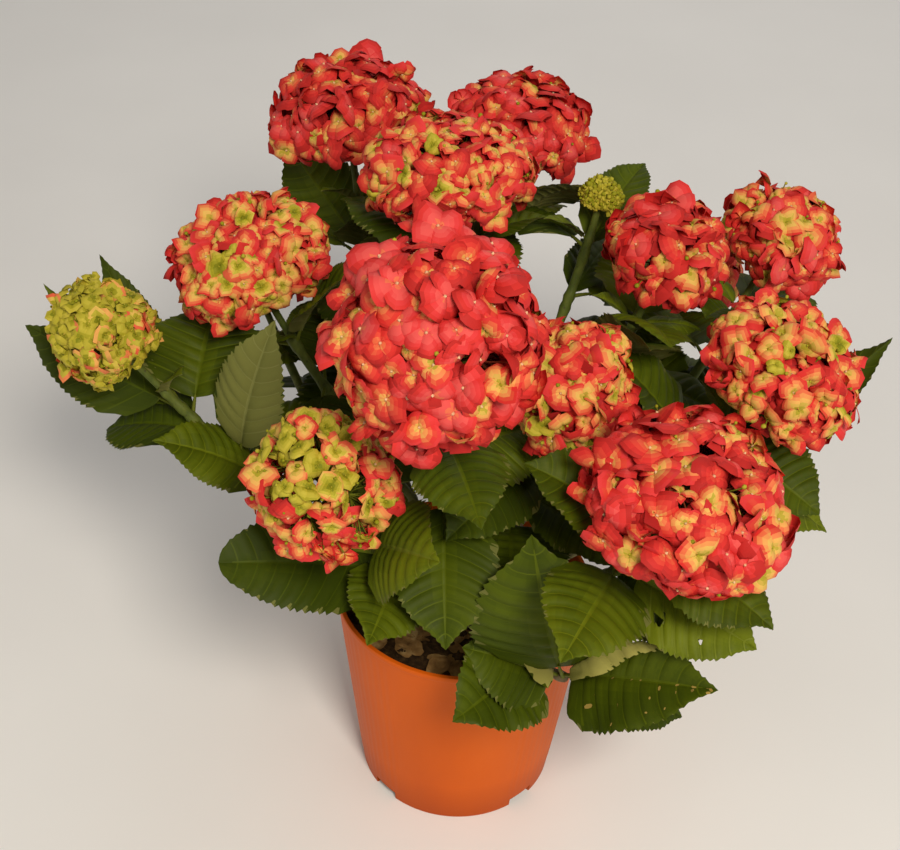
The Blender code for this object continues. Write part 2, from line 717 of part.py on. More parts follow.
def head_slot(name):
    """Colour class of a head: green, half ripe or red."""
    if name in GREEN_HEADS:
        return "sepals_green"
    return "sepals_yellow" if name in YELLOW_HEADS else "sepals_red"


def main():
    clear_scene()
    pot = make_pot()
    soil = make_soil()
    crown = make_crown()
    shoots = all_shoots()
    fixed = [shape_of(obj) for obj in (pot, soil, crown)]
    foliage = Foliage(shoots, fixed + [lofted(SKY_SHAFT)])
    foliage.place()
    for shoot in shoots.values():
        verts, faces = shoot.limb(0.0, shoot.bare_end)
        mesh_object("stem_" + shoot.name, verts, faces, "stem_green")
        verts, faces = shoot.limb(shoot.bare_end + GAP, shoot.leafy_end)
        stem = mesh_object("leaves_" + shoot.name, verts, faces, "foliage")
        combined(stem, foliage.leaves[shoot.name], "foliage", "UNION")
        if shoot.radius:
            make_bloom(shoot, head_slot(shoot.name))


main()
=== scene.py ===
"""Looks of the potted hydrangea: stems, veined leaves, flower heads of many florets,
a ribbed pot and loose soil, all grown by the rule that the solids follow.

Metres, +Z up. The origin is the centre of the pot's flat underside.
"""

import math
import random
from functools import partial

import bmesh
import bpy
import numpy as np
from mathutils import Matrix, Vector, noise
from mathutils.bvhtree import BVHTree


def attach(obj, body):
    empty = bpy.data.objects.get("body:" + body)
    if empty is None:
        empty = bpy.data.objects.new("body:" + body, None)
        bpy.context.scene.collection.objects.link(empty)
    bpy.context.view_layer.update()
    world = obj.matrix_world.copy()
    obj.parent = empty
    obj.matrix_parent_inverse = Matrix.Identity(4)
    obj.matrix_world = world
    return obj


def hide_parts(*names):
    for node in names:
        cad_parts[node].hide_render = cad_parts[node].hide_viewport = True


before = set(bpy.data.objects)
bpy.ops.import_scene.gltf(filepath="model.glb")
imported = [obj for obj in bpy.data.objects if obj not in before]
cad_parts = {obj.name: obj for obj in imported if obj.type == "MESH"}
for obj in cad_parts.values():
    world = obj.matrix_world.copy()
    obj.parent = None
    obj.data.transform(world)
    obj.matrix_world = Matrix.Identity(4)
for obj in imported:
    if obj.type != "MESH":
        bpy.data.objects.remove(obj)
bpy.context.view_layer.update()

# ------------------------------------------------- sizes shared with the solids

GAP = 0.0003
WELD = 1e-6
POT_HEIGHT = 0.198
POT_BASE_RADIUS = 0.0818
POT_RIM_RADIUS = 0.105
POT_WALL = 0.0022
POT_FLOOR = 0.003
LIP_HEIGHT = 0.006
LIP_STEP = 0.0016
NOTCH_COUNT = 4
NOTCH_WIDTH = 0.024
NOTCH_HEIGHT = 0.009
NOTCH_DEPTH = 0.012
SOIL_DROP = 0.022
SOIL_Z = POT_HEIGHT - SOIL_DROP
CROWN_FOOT_RADIUS = 0.031
CROWN_WAIST_RADIUS = 0.023
CROWN_DOME_RADIUS = 0.026
CROWN_DOME_RISE = 0.024
CROWN_FLARE_LOBES = 5
CROWN_FLARE = 0.14

OUTER_RING_POLAR = math.radians(58)
INNER_RING_POLAR = math.radians(24)
STEM_BASE_RADIUS = 0.0046
STEM_TOP_RADIUS = 0.0034
PEDUNCLE_RADIUS = 0.0028
STEM_SIDES = 6
LIMB_STEP = 0.026
LEAVING_PULL = 0.32
ARRIVING_PULL = 0.38
BARE_SHARE = 0.33
PEDUNCLE_LENGTH = 0.020
PEDUNCLE_END = 0.2
RISE_SHARE = 0.56
TEST_SHAPE = (24, 14)
HEAD_CLEARANCE = 1.07

LEAF_PAIR_SPACING = 0.040
LEAF_TOP_OFFSET = 0.010
LEAF_FIRST_LENGTH = 0.104
LEAF_GROWTH = 0.010
LEAF_LONGEST = 0.142
LEAF_WIDTH_RATIO = 0.64
LEAF_SPREAD = 0.08
LEAF_SWING = math.radians(12)
LEAF_LIFT = math.radians(24)
LEAF_DROOP = 0.08
LEAF_ARCH = 0.10
LEAF_FOLD = 0.20
LEAF_THICKNESS = 0.0018
LEAF_CLEARANCE = 0.0012
PETIOLE_SHARE = 0.15
PETIOLE_HALF = 0.0019
LEAF_STATIONS = ((PETIOLE_SHARE, 0.05), (0.38, 0.96), (0.72, 0.76))
STALK_ROOM = 0.006
OUTWARD_FACING = 0.35

# Shoots that end in a flower head: centre of the head (x, y, z), its diameter
# and height, its lean away from the pot's axis, ring on the crown, turn of its
# leaf pairs in degrees, and how many pairs it has besides its placed leaves.
SHOOTS = {
    "back_left": ((-0.117, 0.248, 0.481), 0.146, 0.102, 0.45, "outer", 20, 4),
    "back_middle": ((-0.029, 0.107, 0.518), 0.140, 0.086, 0.20, "inner", 60, 4),
    "back_right": ((0.024, 0.237, 0.480), 0.130, 0.103, 0.45, "outer", 35, 4),
    "left_upper": ((-0.173, 0.058, 0.462), 0.128, 0.098, 0.45, "inner", 10, 4),
    "left_outer": ((-0.270, -0.004, 0.434), 0.082, 0.092, 0.75, "outer", 45, 0),
    "front_top": ((-0.025, -0.128, 0.533), 0.148, 0.166, 0.30, "inner", 15, 3),
    "middle_right": ((0.066, -0.064, 0.451), 0.096, 0.112, 0.20, "inner", 80, 3),
    "front_left": ((-0.098, -0.127, 0.408), 0.111, 0.118, 0.60, "outer", 30, 0),
    "right_upper": ((0.134, 0.059, 0.489), 0.105, 0.087, 0.25, "inner", 50, 4),
    "right_back": ((0.228, 0.125, 0.463), 0.104, 0.087, 0.50, "outer", 0, 4),
    "right_outer": ((0.215, -0.032, 0.455), 0.128, 0.088, 0.55, "outer", 65, 2),
    "front_right": ((0.140, -0.168, 0.448), 0.152, 0.086, 0.35, "outer", 25, 3),
    "green_bud": ((0.088, 0.127, 0.494), 0.036, 0.029, 0.30, "inner", 70, 3),
    "rear_low": ((-0.040, 0.325, 0.375), 0.120, 0.092, 0.70, "outer", 15, 4),
    "rear_left": ((-0.190, 0.170, 0.370), 0.110, 0.085, 0.70, "outer", 55, 4),
    "rear_right": ((0.170, 0.225, 0.375), 0.115, 0.088, 0.70, "outer", 40, 4),
}
# Shoots without a flower: stem tip (x, y, z), lean, ring, turn, leaf pairs.
LEAFY_SHOOTS = {
    "low_front": ((0.079, -0.122, 0.226), 1.4, "outer", 40, 1),
}
# Leaves with a place of their own: shoot, distance of the root below the stem's
# upper end, leaf tip (x, y, z), width, roll of the blade in degrees.
PLACED_LEAVES = (
    ("left_outer", 0.020, (-0.341, 0.029, 0.415), 0.060, 150),
    ("left_outer", 0.030, (-0.339, 0.081, 0.417), 0.036, 180),
    ("left_outer", 0.020, (-0.297, 0.098, 0.436), 0.036, 180),
    ("left_outer", 0.030, (-0.204, 0.078, 0.409), 0.100, 20),
    ("left_outer", 0.050, (-0.284, 0.012, 0.331), 0.074, 0),
    ("left_outer", 0.080, (-0.146, -0.009, 0.460), 0.056, 60),
    ("left_outer", 0.110, (-0.233, -0.052, 0.377), 0.056, -30),
    ("front_left", 0.080, (-0.177, -0.121, 0.324), 0.076, -30),
    ("front_left", 0.070, (-0.066, -0.167, 0.296), 0.064, -30),
    ("front_left", 0.030, (-0.017, -0.171, 0.385), 0.076, 30),
    ("front_left", 0.070, (-0.104, -0.046, 0.382), 0.060, 0),
    ("low_front", 0.008, (0.177, -0.203, 0.310), 0.084, 40),
    ("low_front", 0.002, (0.044, -0.142, 0.388), 0.110, -60),
    ("low_front", 0.006, (0.001, -0.137, 0.268), 0.074, -20),
    ("low_front", 0.040, (-0.003, -0.185, 0.241), 0.078, -20),
    ("front_right", 0.050, (0.202, -0.184, 0.332), 0.070, 30),
    ("front_right", 0.070, (0.168, -0.154, 0.307), 0.074, 0),
    ("right_outer", 0.020, (0.252, -0.079, 0.365), 0.070, 30),
    ("right_outer", 0.030, (0.307, 0.036, 0.442), 0.048, 180),
    ("back_left", 0.040, (-0.177, 0.301, 0.429), 0.070, 150),
    ("back_left", 0.050, (-0.077, 0.125, 0.465), 0.060, 0),
    ("green_bud", 0.020, (0.126, 0.197, 0.485), 0.048, 0),
    ("green_bud", 0.060, (0.111, 0.193, 0.417), 0.044, 0),
    ("right_upper", 0.050, (0.118, -0.059, 0.488), 0.064, 0),
)

# No leaf may cross this slanting shaft, where the photo shows sky to the right
# of the largest head: its corners beside that head, and behind the plant.
SKY_SHAFT = (
    ((0.027, -0.013, 0.546), (0.035, -0.008, 0.553), (0.043, -0.015, 0.544),
     (0.053, -0.031, 0.524), (0.056, -0.046, 0.505), (0.046, -0.046, 0.505),
     (0.032, -0.035, 0.520)),
    ((0.043, 0.530, 0.199), (0.054, 0.538, 0.208), (0.067, 0.527, 0.195),
     (0.082, 0.502, 0.164), (0.088, 0.478, 0.134), (0.071, 0.477, 0.134),
     (0.050, 0.496, 0.157)),
)

# A leaf that would touch something is tried again with each of these changes
# of azimuth and lift in degrees, and of length, and is then left out.
LEAF_TRIES = (
    (0, 0, 1.0), (0, -14, 1.0), (16, 0, 1.0), (-16, 0, 1.0), (0, -30, 1.0),
    (24, -14, 0.9), (-24, -14, 0.9), (0, 16, 0.9), (34, -8, 0.85),
    (-34, -8, 0.85), (0, -22, 0.8), (45, -24, 0.75), (-45, -24, 0.75),
)
PLACED_TRIES = (
    (0, 0, 1.0), (0, -8, 1.0), (10, 0, 0.97), (-10, 0, 0.97), (0, 8, 0.95), (0, -16, 0.92),
)

UP = Vector((0, 0, 1))


# ------------------------------------------------- shoots, as in the solids

def turns(count):
    """Angles of so many even steps round a circle."""
    return [2 * math.pi * k / count for k in range(count)]


def carried(side, along):
    """Side direction of a ring across a curve, carried on from the ring before."""
    side = along.orthogonal() if side is None else side - along * side.dot(along)
    return side.normalized()


def circle(centre, side, other, radius, count):
    """Ring of points round a centre, in the plane of two directions."""
    return [centre + (side * math.cos(a) + other * math.sin(a)) * radius for a in turns(count)]


def lofted(rings, close_ends=True):
    """Join rings of equal length into a tube, with flat ends."""
    count = len(rings[0])
    verts = [point for ring in rings for point in ring]
    faces = []
    for row in range(len(rings) - 1):
        for side in range(count):
            after = (side + 1) % count
            low = row * count
            high = low + count
            faces.append((low + side, low + after, high + after, high + side))
    if close_ends:
        faces.append(tuple(reversed(range(count))))
        faces.append(tuple(range(len(verts) - count, len(verts))))
    return verts, faces


def upright_ring(angles, shape):
    """Ring round the pot's axis; shape(angle) gives its radius and height there."""
    ring = []
    for angle in angles:
        radius, height = shape(angle)
        ring.append(Vector((radius * math.cos(angle), radius * math.sin(angle), height)))
    return ring


class Shoot:
    """The curve of one shoot, from the crown up to its flower head or tip."""

    SAMPLES = 60

    def __init__(self, name, goal, lean, ring, turn, pairs, diameter=0.0, height=0.0):
        self.name = name
        self.goal = Vector(goal)
        self.ring = ring
        self.turn = math.radians(turn)
        self.pairs = pairs
        self.radius = diameter / 2
        self.rise = height * RISE_SHARE
        self.drop = height - self.rise
        out = Vector((self.goal.x, self.goal.y, 0)).normalized()
        self.axis = (out * lean + UP).normalized()
        self.azimuth = math.atan2(self.goal.y, self.goal.x)
        self.leaf_rng = random.Random(name + " leaves")
        self.bloom_rng = random.Random(name + " bloom")

    def grow(self, start_azimuth):
        """Bend the curve from its place on the crown's dome to its goal."""
        polar = OUTER_RING_POLAR if self.ring == "outer" else INNER_RING_POLAR
        leave = Vector((math.sin(polar) * math.cos(start_azimuth),
                        math.sin(polar) * math.sin(start_azimuth),
                        math.cos(polar)))
        dome = Vector((0, 0, SOIL_Z + CROWN_DOME_RISE))
        start = dome + leave * (CROWN_DOME_RADIUS + GAP)
        reach = (self.goal - start).length
        corners = (start, start + leave * LEAVING_PULL * reach,
                   self.goal - self.axis * ARRIVING_PULL * reach, self.goal)
        self.points = [bezier(corners, i / self.SAMPLES) for i in range(self.SAMPLES + 1)]
        self.lengths = [0.0]
        for before, after in zip(self.points, self.points[1:]):
            self.lengths.append(self.lengths[-1] + (after - before).length)
        self.length = self.lengths[-1]
        self.bare_end = BARE_SHARE * self.length
        self.leafy_end = self.length - (self.drop + PEDUNCLE_LENGTH if self.radius else 0)

    def at(self, distance):
        """Point and direction at a distance along the curve."""
        distance = min(max(distance, 0.0), self.length)
        index = 0
        while index < self.SAMPLES - 1 and self.lengths[index + 1] < distance:
            index += 1
        before, after = self.points[index], self.points[index + 1]
        step = self.lengths[index + 1] - self.lengths[index]
        share = (distance - self.lengths[index]) / step
        low = self.points[max(index - 1, 0)]
        high = self.points[min(index + 2, self.SAMPLES)]
        return before.lerp(after, share), (high - low).normalized()

    def stem_radius(self, distance):
        """Radius of the shoot's stem at a distance from the crown."""
        share = min(distance / self.length, 1.0)
        return STEM_BASE_RADIUS + (STEM_TOP_RADIUS - STEM_BASE_RADIUS) * share

    def limb(self, start, end):
        """Tapering tube with flat ends along a stretch of the curve."""
        steps = max(2, round((end - start) / LIMB_STEP))
        rings = []
        side = None
        for i in range(steps + 1):
            distance = start + (end - start) * i / steps
            centre, along = self.at(distance)
            side = carried(side, along)
            rings.append(circle(centre, side, along.cross(side), self.stem_radius(distance),
                                STEM_SIDES))
        return lofted(rings)


def bezier(corners, t):
    """Point on a cubic curve."""
    a, b, c, d = corners
    s = 1 - t
    return a * s ** 3 + b * 3 * s * s * t + c * 3 * s * t * t + d * t ** 3


def spread_on_crown(shoots):
    """Give the shoots of one ring even places on the crown, in their order."""
    ordered = sorted(shoots, key=lambda shoot: shoot.azimuth)
    slot = 2 * math.pi / len(ordered)
    offset = sum(shoot.azimuth - i * slot for i, shoot in enumerate(ordered)) / len(ordered)
    for i, shoot in enumerate(ordered):
        shoot.grow(offset + i * slot)


def all_shoots():
    """Every shoot, grown to its curve."""
    shoots = {}
    for name, (goal, diameter, height, lean, ring, turn, pairs) in SHOOTS.items():
        shoots[name] = Shoot(name, goal, lean, ring, turn, pairs, diameter, height)
    for name, (goal, lean, ring, turn, pairs) in LEAFY_SHOOTS.items():
        shoots[name] = Shoot(name, goal, lean, ring, turn, pairs)
    for ring in ("outer", "inner"):
        spread_on_crown([shoot for shoot in shoots.values() if shoot.ring == ring])
    return shoots


def head_turn(shoot):
    """Rotation that sets a head's own +Z along its axis."""
    return UP.rotation_difference(shoot.axis).to_matrix()


def dome_point(shoot, direction, share):
    """Point of the head's outline in a direction, in the head's own frame."""
    depth = shoot.rise if direction.z > 0 else shoot.drop
    wide = shoot.radius * share
    return Vector((direction.x * wide, direction.y * wide, direction.z * depth * share))


def dome_shell(shoot):
    """Room that leaves keep free round a head: a ball, drawn out to its height."""
    ball = bmesh.new()
    bmesh.ops.create_uvsphere(ball, u_segments=TEST_SHAPE[0], v_segments=TEST_SHAPE[1], radius=1.0)
    turn = head_turn(shoot)
    verts = [shoot.goal + turn @ dome_point(shoot, v.co, HEAD_CLEARANCE) for v in ball.verts]
    faces = [tuple(v.index for v in face.verts) for face in ball.faces]
    ball.free()
    return verts, faces


def leaf_directions(root, tip, roll):
    """Directions of a leaf: along its chord, across it, and out of its upper face."""
    along = (tip - root).normalized()
    outward = Vector((root.x + tip.x, root.y + tip.y, 0)).normalized()
    facing = UP + outward * OUTWARD_FACING
    facing = (facing - along * facing.dot(along)).normalized()
    facing = Matrix.Rotation(math.radians(roll), 3, along) @ facing
    return along, along.cross(facing), facing


def leaf_solid(root, tip, width, roll, stalk):
    """A leaf as in the solids, with or without its stalk, swollen for the tests of contact.

    The midrib arches towards the blade's face, and both sides rise from it.
    """
    chord = tip - root
    _, across, facing = leaf_directions(root, tip, roll)
    stations = [(0.0, 2 * PETIOLE_HALF / width)] if stalk else []
    stations += [(t, max(share, 2 * PETIOLE_HALF / width)) for t, share in LEAF_STATIONS]
    rims, tops, lows = [], [], []
    for t, share in stations:
        half = share * width / 2 + LEAF_CLEARANCE
        rise = facing * LEAF_FOLD * half
        middle = root + chord * t + facing * (4 * LEAF_ARCH * chord.length * t * (1 - t))
        rims.append((middle - across * half + rise, middle + across * half + rise))
        thick = LEAF_CLEARANCE + (PETIOLE_HALF if t <= PETIOLE_SHARE else LEAF_THICKNESS / 2)
        tops.append(middle + facing * thick)
        lows.append(middle - facing * thick)
    count = len(stations)
    verts = [rim[0] for rim in rims] + [rim[1] for rim in rims] + tops + lows + [tip]
    left, right, top, low, end = 0, count, 2 * count, 3 * count, 4 * count
    faces = [(left, top, right, low)]
    last = count - 1
    for edge in (left, right):
        for face in (top, low):
            faces += [(edge + i, edge + i + 1, face + i + 1, face + i) for i in range(last)]
            faces.append((edge + last, end, face + last))
    return verts, faces


def tree_of(shape):
    """Search tree over a shape's faces, for the tests of contact."""
    verts, faces = shape
    return BVHTree.FromPolygons([tuple(v) for v in verts], faces)


def turned_tip(root, tip, azimuth, lift, scale):
    """Swing a leaf about its root: sideways, upwards, and in length."""
    chord = Matrix.Rotation(math.radians(azimuth), 3, "Z") @ (tip - root)
    level = UP.cross(chord)
    if level.length > WELD:
        chord = Matrix.Rotation(-math.radians(lift), 3, level.normalized()) @ chord
    return root + chord * scale


class Foliage:
    """The leaves of the whole plant, each clear of everything before it."""

    def __init__(self, shoots, fixed):
        self.shoots = shoots
        self.fixed = [tree_of(shape) for shape in fixed]
        self.limbs = {}
        for shoot in shoots.values():
            trees = [tree_of(shoot.limb(0.0, shoot.leafy_end))]
            if shoot.radius:
                trees.append(tree_of(dome_shell(shoot)))
                trees.append(tree_of(shoot.limb(shoot.leafy_end, shoot.length)))
            self.limbs[shoot.name] = trees
        self.leaves = {name: [] for name in shoots}
        self.blades = []

    def is_clear(self, shoot, whole, blade):
        """True if the leaf touches no other piece and its blade no own piece."""
        for name, trees in self.limbs.items():
            tested = blade if name == shoot.name else whole
            if any(tree.overlap(tested) for tree in trees):
                return False
        if any(tree.overlap(whole) for tree in self.fixed):
            return False
        for owner, other_whole, other_blade in self.blades:
            if owner == shoot.name:
                touching = other_blade.overlap(blade)
            else:
                touching = other_whole.overlap(whole)
            if touching:
                return False
        return True

    def add_turned(self, shoot, distance, angle, lift, length, ratio, tries):
        """A leaf at an angle round the stem, lifted towards the stem's direction."""
        root, along = shoot.at(distance)
        side = (UP - along * UP.dot(along)).normalized()
        outward = Matrix.Rotation(angle, 3, along) @ side
        lean = outward * math.cos(lift) + along * math.sin(lift)
        chord = (lean - UP * LEAF_DROOP).normalized() * length
        self.add(shoot, root, root + chord, length * ratio, 0, tries)

    def add(self, shoot, root, tip, width, roll, tries):
        """Keep the first clear try of one leaf, or leave it out."""
        for azimuth, lift, scale in tries:
            end = turned_tip(root, tip, azimuth, lift, scale)
            whole = tree_of(leaf_solid(root, end, width, roll, True))
            blade = tree_of(leaf_solid(root, end, width, roll, False))
            if end.z < SOIL_Z or not self.is_clear(shoot, whole, blade):
                continue
            self.leaves[shoot.name].append((root, end, width, roll))
            self.blades.append((shoot.name, whole, blade))
            return True
        return False

    def place(self):
        """First the leaves with places of their own, then the pairs by rule."""
        for name, below, tip, width, roll in PLACED_LEAVES:
            shoot = self.shoots[name]
            root, _ = shoot.at(max(shoot.leafy_end - below, shoot.bare_end + STALK_ROOM))
            self.add(shoot, root, Vector(tip), width, roll, PLACED_TRIES)
        for shoot in self.shoots.values():
            self.add_pairs(shoot)

    def add_pairs(self, shoot):
        """Opposite leaves, each pair turned a quarter from the one above."""
        lowest = shoot.bare_end + LEAF_TOP_OFFSET
        for pair in range(shoot.pairs):
            distance = max(shoot.leafy_end - LEAF_TOP_OFFSET - LEAF_PAIR_SPACING * pair, lowest)
            for half in range(2):
                angle = shoot.turn + pair * math.pi / 2 + half * math.pi
                angle += shoot.leaf_rng.uniform(-LEAF_SWING, LEAF_SWING)
                length = min(LEAF_FIRST_LENGTH + LEAF_GROWTH * pair, LEAF_LONGEST)
                length *= shoot.leaf_rng.uniform(1 - LEAF_SPREAD, 1 + LEAF_SPREAD)
                self.add_turned(shoot, distance, angle, LEAF_LIFT, length, LEAF_WIDTH_RATIO,
                                LEAF_TRIES)


# ------------------------------------------------- looks: sizes

BLADE_THICKNESS = 0.0007
VEIN_INTERVALS = 9            # secondary veins on each side of a leaf
SMALL_INTERVALS = 5           # the same on a young leaf
VEIN_OFFSETS = (0.0, 0.08, 0.32, 0.56, 0.80)    # cross lines between two veins
VEIN_TEETH = (1.0, 0.8, -0.35, 0.9, -0.35)      # their ends: teeth and notches
VEIN_SWEEP = 0.27             # how far side veins run forward, against the blade
FULL_SWEEP = 0.16             # from this place along the midrib on, in full
TOOTH = 0.026                 # tooth height against the leaf's width
BLADE_COLUMNS = (0.0, 0.04, 0.25, 0.50, 0.70, 0.86, 1.0)
TOOTH_SIZES = (0.5, 1.4)      # range of the teeth of one leaf
TOOTH_LEAN = 0.012            # how far teeth point forward
QUILTING = 0.026              # bulge between veins, against the leaf's width
FOLDS = (0.8, 1.8)            # fold along the midrib, against that of the solids
EDGE_WAVE = 0.030
WAVE_COUNTS = (1.6, 3.4)      # waves of a margin along the blade
WAVE_SHIFTS = (0.6, 2.6)      # how far both margins' waves are out of step
EDGE_CURLS = (-0.05, 0.55)    # how far the margins bend down, where they aren't rolled in
WIDEST = 0.80                 # the smaller, the nearer its widest place is to the stalk
TIP_STRETCH = (0.78, 0.97)    # where the blade narrows to its tip
MIDRIB_DEPTH = 0.0011
MIDRIB_SHARE = 0.06           # half-width of the midrib's groove, against the blade's
VEIN_RELIEF = 0.0003          # how far side veins stand out below
PETIOLE_SIDES = 6
PETIOLE_TAPER = (1.15, 0.90, 0.80, 0.72, 0.45)
PETIOLE_OVERLAP = 0.02        # how far it runs on under the blade
FULL_LEAF_LENGTH = 0.09       # shorter leaves have thinner stalks

# Shade of a leaf, 0 dark to 1 fresh: the usual ones, how often each comes, and
# those of leaves shorter than YOUNG_LENGTH, which the eaten leaf takes too as painted light.
LEAF_SHADES = (0.08, 0.34, 0.60, 0.86)
LEAF_SHADE_SHARES = (0.22, 0.40, 0.30, 0.08)
YOUNG_AND_PAINTED_LIGHT_SHADES = (0.60, 0.86)
YOUNG_LENGTH = 0.06
SHADE_CLOUDS = 0.13           # how far the shade varies over one leaf
SHADE_MIDDLE = 0.12           # how much fresher it is beside the midrib
# Painted shade: the faces beside each side vein are darkened as if in the vein's groove.
VEIN_GROOVE_PAINTED_SHADE = 0.07       # how much darker beside side veins
SHADE_SCATTER = 0.03          # from face to face
VEIN_PALER = 0.28             # how much fresher the veins are than the blade

# Grids of a sepal for large to hidden florets: rings from its heart to its rim,
# and the number of places along each ring.
LARGE_GRID = ((0.03, 0.25, 0.46, 0.66, 0.85, 1.0), 11)
MIDDLE_GRID = ((0.03, 0.28, 0.49, 0.68, 0.86, 1.0), 9)
SMALL_GRID = ((0.03, 0.38, 0.72, 1.0), 7)
TINY_GRID = ((0.03, 0.50, 1.0), 5)
LARGE_FLORET = 0.0155
SMALL_FLORET = 0.0100
TINY_FLORET = 0.0060
SEPAL_WIDTH = 0.64            # half-width of a sepal against its length
SEPAL_POINT = 0.10            # how far its tip stands out, against its length
SEPAL_POINT_WIDTH = 0.24      # share of the outline that belongs to the tip
SEPAL_ROUNDNESS = 0.85        # the smaller, the squarer
SEPAL_OPEN = 0.93             # share of its full outline; the rest is its foot
SEPAL_SIZES = (0.84, 1.08)    # range within one floret
SEPAL_WIDTHS = (0.88, 1.10)
SEPAL_RAGGED = 0.045          # unevenness of its outline
SEPAL_RIPPLE = 0.042          # and of its height at the rim
SEPAL_LAYERS = (0.0, 0.055, 0.0, 0.055)     # two of the four lie over the others
SEPAL_SWING = 0.10            # unevenness of the quarter turns between them
# Pitch of a sepal at its heart and at its tip, and how far its sides drop: the
# value of an open floret, what is added when it is closed, and its spread.
HEART_PITCH = (0.42, 0.70, 0.14)
TIP_PITCH = (-0.85, -0.30, 0.32)
SIDE_DROP = (0.80, 0.30, 0.30)
LEAST_BEND = 0.3              # between heart and tip
HEART_RADIUS = 0.02           # against the sepal's length
FLORET_SIZES = (0.80, 1.14)   # range on one head
FLORET_DEPTH = 0.16           # how far a floret's heart is sunk, against its radius
FLORET_JITTER = 0.12          # unevenness of the florets' places
CLOSED_SPREAD = 0.15
CLOSED_MOST = 1.1
EYE_SIZE = 0.085              # against the floret's radius
EYE_RISE = 0.001
FLORET_AREA = 1.45            # a head's surface for each floret, per radius squared
FLORET_POLAR = math.radians(126)
FLORET_TILT = math.radians(26)
FLORET_LIFT = 0.10            # how far florets turn towards the head's axis
LUMPS = 0.15                  # unevenness of a head's outline
LUMP_SCALE = 2.2
LUMP_TOP = 0.18               # the hollows of a head are deeper than its humps are high
SINKING = 0.045               # how far single florets stand lower than the rest
CRUMPLING = 1.0               # how much more uneven the closed sepals are
EVENING_STEPS = 12            # rounds in which florets move away from their neighbours
EVENING_REACH = 3.5           # how near a neighbour pushes, against even spacing
EVENING_PUSH = 0.25
INNER_SHARE = 0.45            # florets of a second, lower layer
INNER_LEVEL = 0.80
INNER_UNRIPE_SIZE = 0.90
OVERHANG = 0.40               # how far florets are drawn in, against their radius
HUB_LEVEL = 0.42              # where the flower stalks branch
HUB_COUNT = 9
HUB_POLAR = math.radians(100)
PEDICEL_RADIUS = 0.0006
PEDICEL_TAPER = (1.0, 1.0, 1.3)
PEDICEL_SIDES = 3
PEDICEL_START = 0.001         # below the floret
PEDICEL_SAG = 0.15            # against its length
BRANCH_RADIUS = 0.0013
BRANCH_TAPER = (1.25, 1.0, 0.8)
BRANCH_SAG = 0.10
BRANCH_SIDES = 6
FULL_HEAD_RADIUS = 0.05       # smaller heads have thinner branches
BUD_RADIUS = 0.0017
BUD_SIZES = (0.6, 1.2)
BUD_SCALES = {"green_bud": 1.25}
BUD_LEVEL = 0.93
BUD_POLAR = math.radians(105)
GREEN_BUD_SHARE = 0.6         # the others are paler
BEAD_ROWS = 4
BEAD_SIDES = 5
EYE_ROWS = 3

STEM_STEP = 0.0045
STEM_LOOK_SIDES = 12
CROWN_SIDES = 72
STEM_FOOT = 0.006             # length of the swelling at a stem's foot
STEM_FOOT_SWELLING = 0.35
PEDUNCLE_STRETCH = (-0.004, 0.008)      # where a stem narrows below its head
WOODY_STRETCH = (0.2, 0.5)    # where its bark turns smooth, against its length
JOINT_SWELLING = 0.30
JOINT_LENGTH = 0.0032         # and of one at a leaf joint
JOINT_START = 0.022           # old joints on the bare part of a stem
JOINT_SPACING = 0.034
STEM_GRAIN = 0.05
WOODY_GRAIN = 0.10            # more on the woody lower part
CROWN_DEPTH = 0.004           # in the soil
# Rings of the crown against its height, up to the dome, and the dome's own rings.
CROWN_RINGS = (0.02, 0.12, 0.22, 0.32, 0.42, 0.52, 0.62, 0.72, 0.84)
CROWN_OUTLINE = ((0.0, CROWN_FOOT_RADIUS / (1 + CROWN_FLARE)), (0.35, CROWN_WAIST_RADIUS * 1.06),
                 (0.62, CROWN_WAIST_RADIUS), (1.0, CROWN_DOME_RADIUS))
CROWN_FLARE_END = 0.6         # the height where the flare ends, against the crown's
DOME_RINGS = 14
DOME_START = 84               # degrees from upright
DOME_STEP = 6.2
CROWN_FURROWS = ((6, 40, 0.045), (19, 90, 0.025))   # across, up, and their depth
POT_SIDES = 320
# Rings of the pot's wall: below the lip, an even stretch, and above the foot.
BELOW_LIP = (0.0006, 0.004, 0.008, 0.012)
POT_WALL_TOP = 0.170
POT_WALL_STRETCH = 0.150
POT_WALL_STEPS = 8
ABOVE_FOOT = (0.017, 0.014, 0.0115, NOTCH_HEIGHT, 0.006, 0.003, 0.0008)
INNER_HEIGHTS = (0.05, 0.10, 0.15, 0.17)
LIP_INNER_EDGE = 0.0006
LIP_ROUNDING = 0.0010
LIP_CORNER = 0.0003           # the rounding's middle, from the square corner
LIP_UNDERSIDE = 0.0014        # where the lip's outer face ends, above its lower edge
LIP_LOWER_EDGE = 0.0004
FOOT_ROUNDING = 0.0008
FLOOR_RADII = (0.002, 0.070)  # rings of the pot's flat floor
NOTCH_EDGE = 0.0004           # radians on both sides of a slot's edge
POT_CREASE = math.radians(40)
RIB_PITCH = 4.5               # degrees
RIB_DEPTH = 0.0004
RIB_START = 0.50              # where the ribs begin, against straight left or right
RIB_FADE = 0.08
RIB_FOOT = (0.010, 0.022)     # heights over which they fade out below
RIB_TOP = 0.012               # and how far below the lip they fade out
SOIL_SIDES = 120
SOIL_STEPS = 30
SOIL_WAVES = ((30, 0, 0.0032), (95, 3, 0.0016))     # how close, where, and their height
SOIL_SETTLING = 0.0005
SOIL_EDGE_DROP = 0.004
SOIL_FOOT = 0.004             # radius of the flat middle of its underside
SOIL_MARGIN = 0.012           # outermost ring of its surface, from the edge
SOIL_SPAN = 0.97              # of the radius, over which its rings are spread
SOIL_HEAP = 0.003             # rise of the soil against the crown
SOIL_HEAP_REACH = 0.040
CLOD_COUNT = 200
CLOD_SIZES = (0.0011, 0.0024)
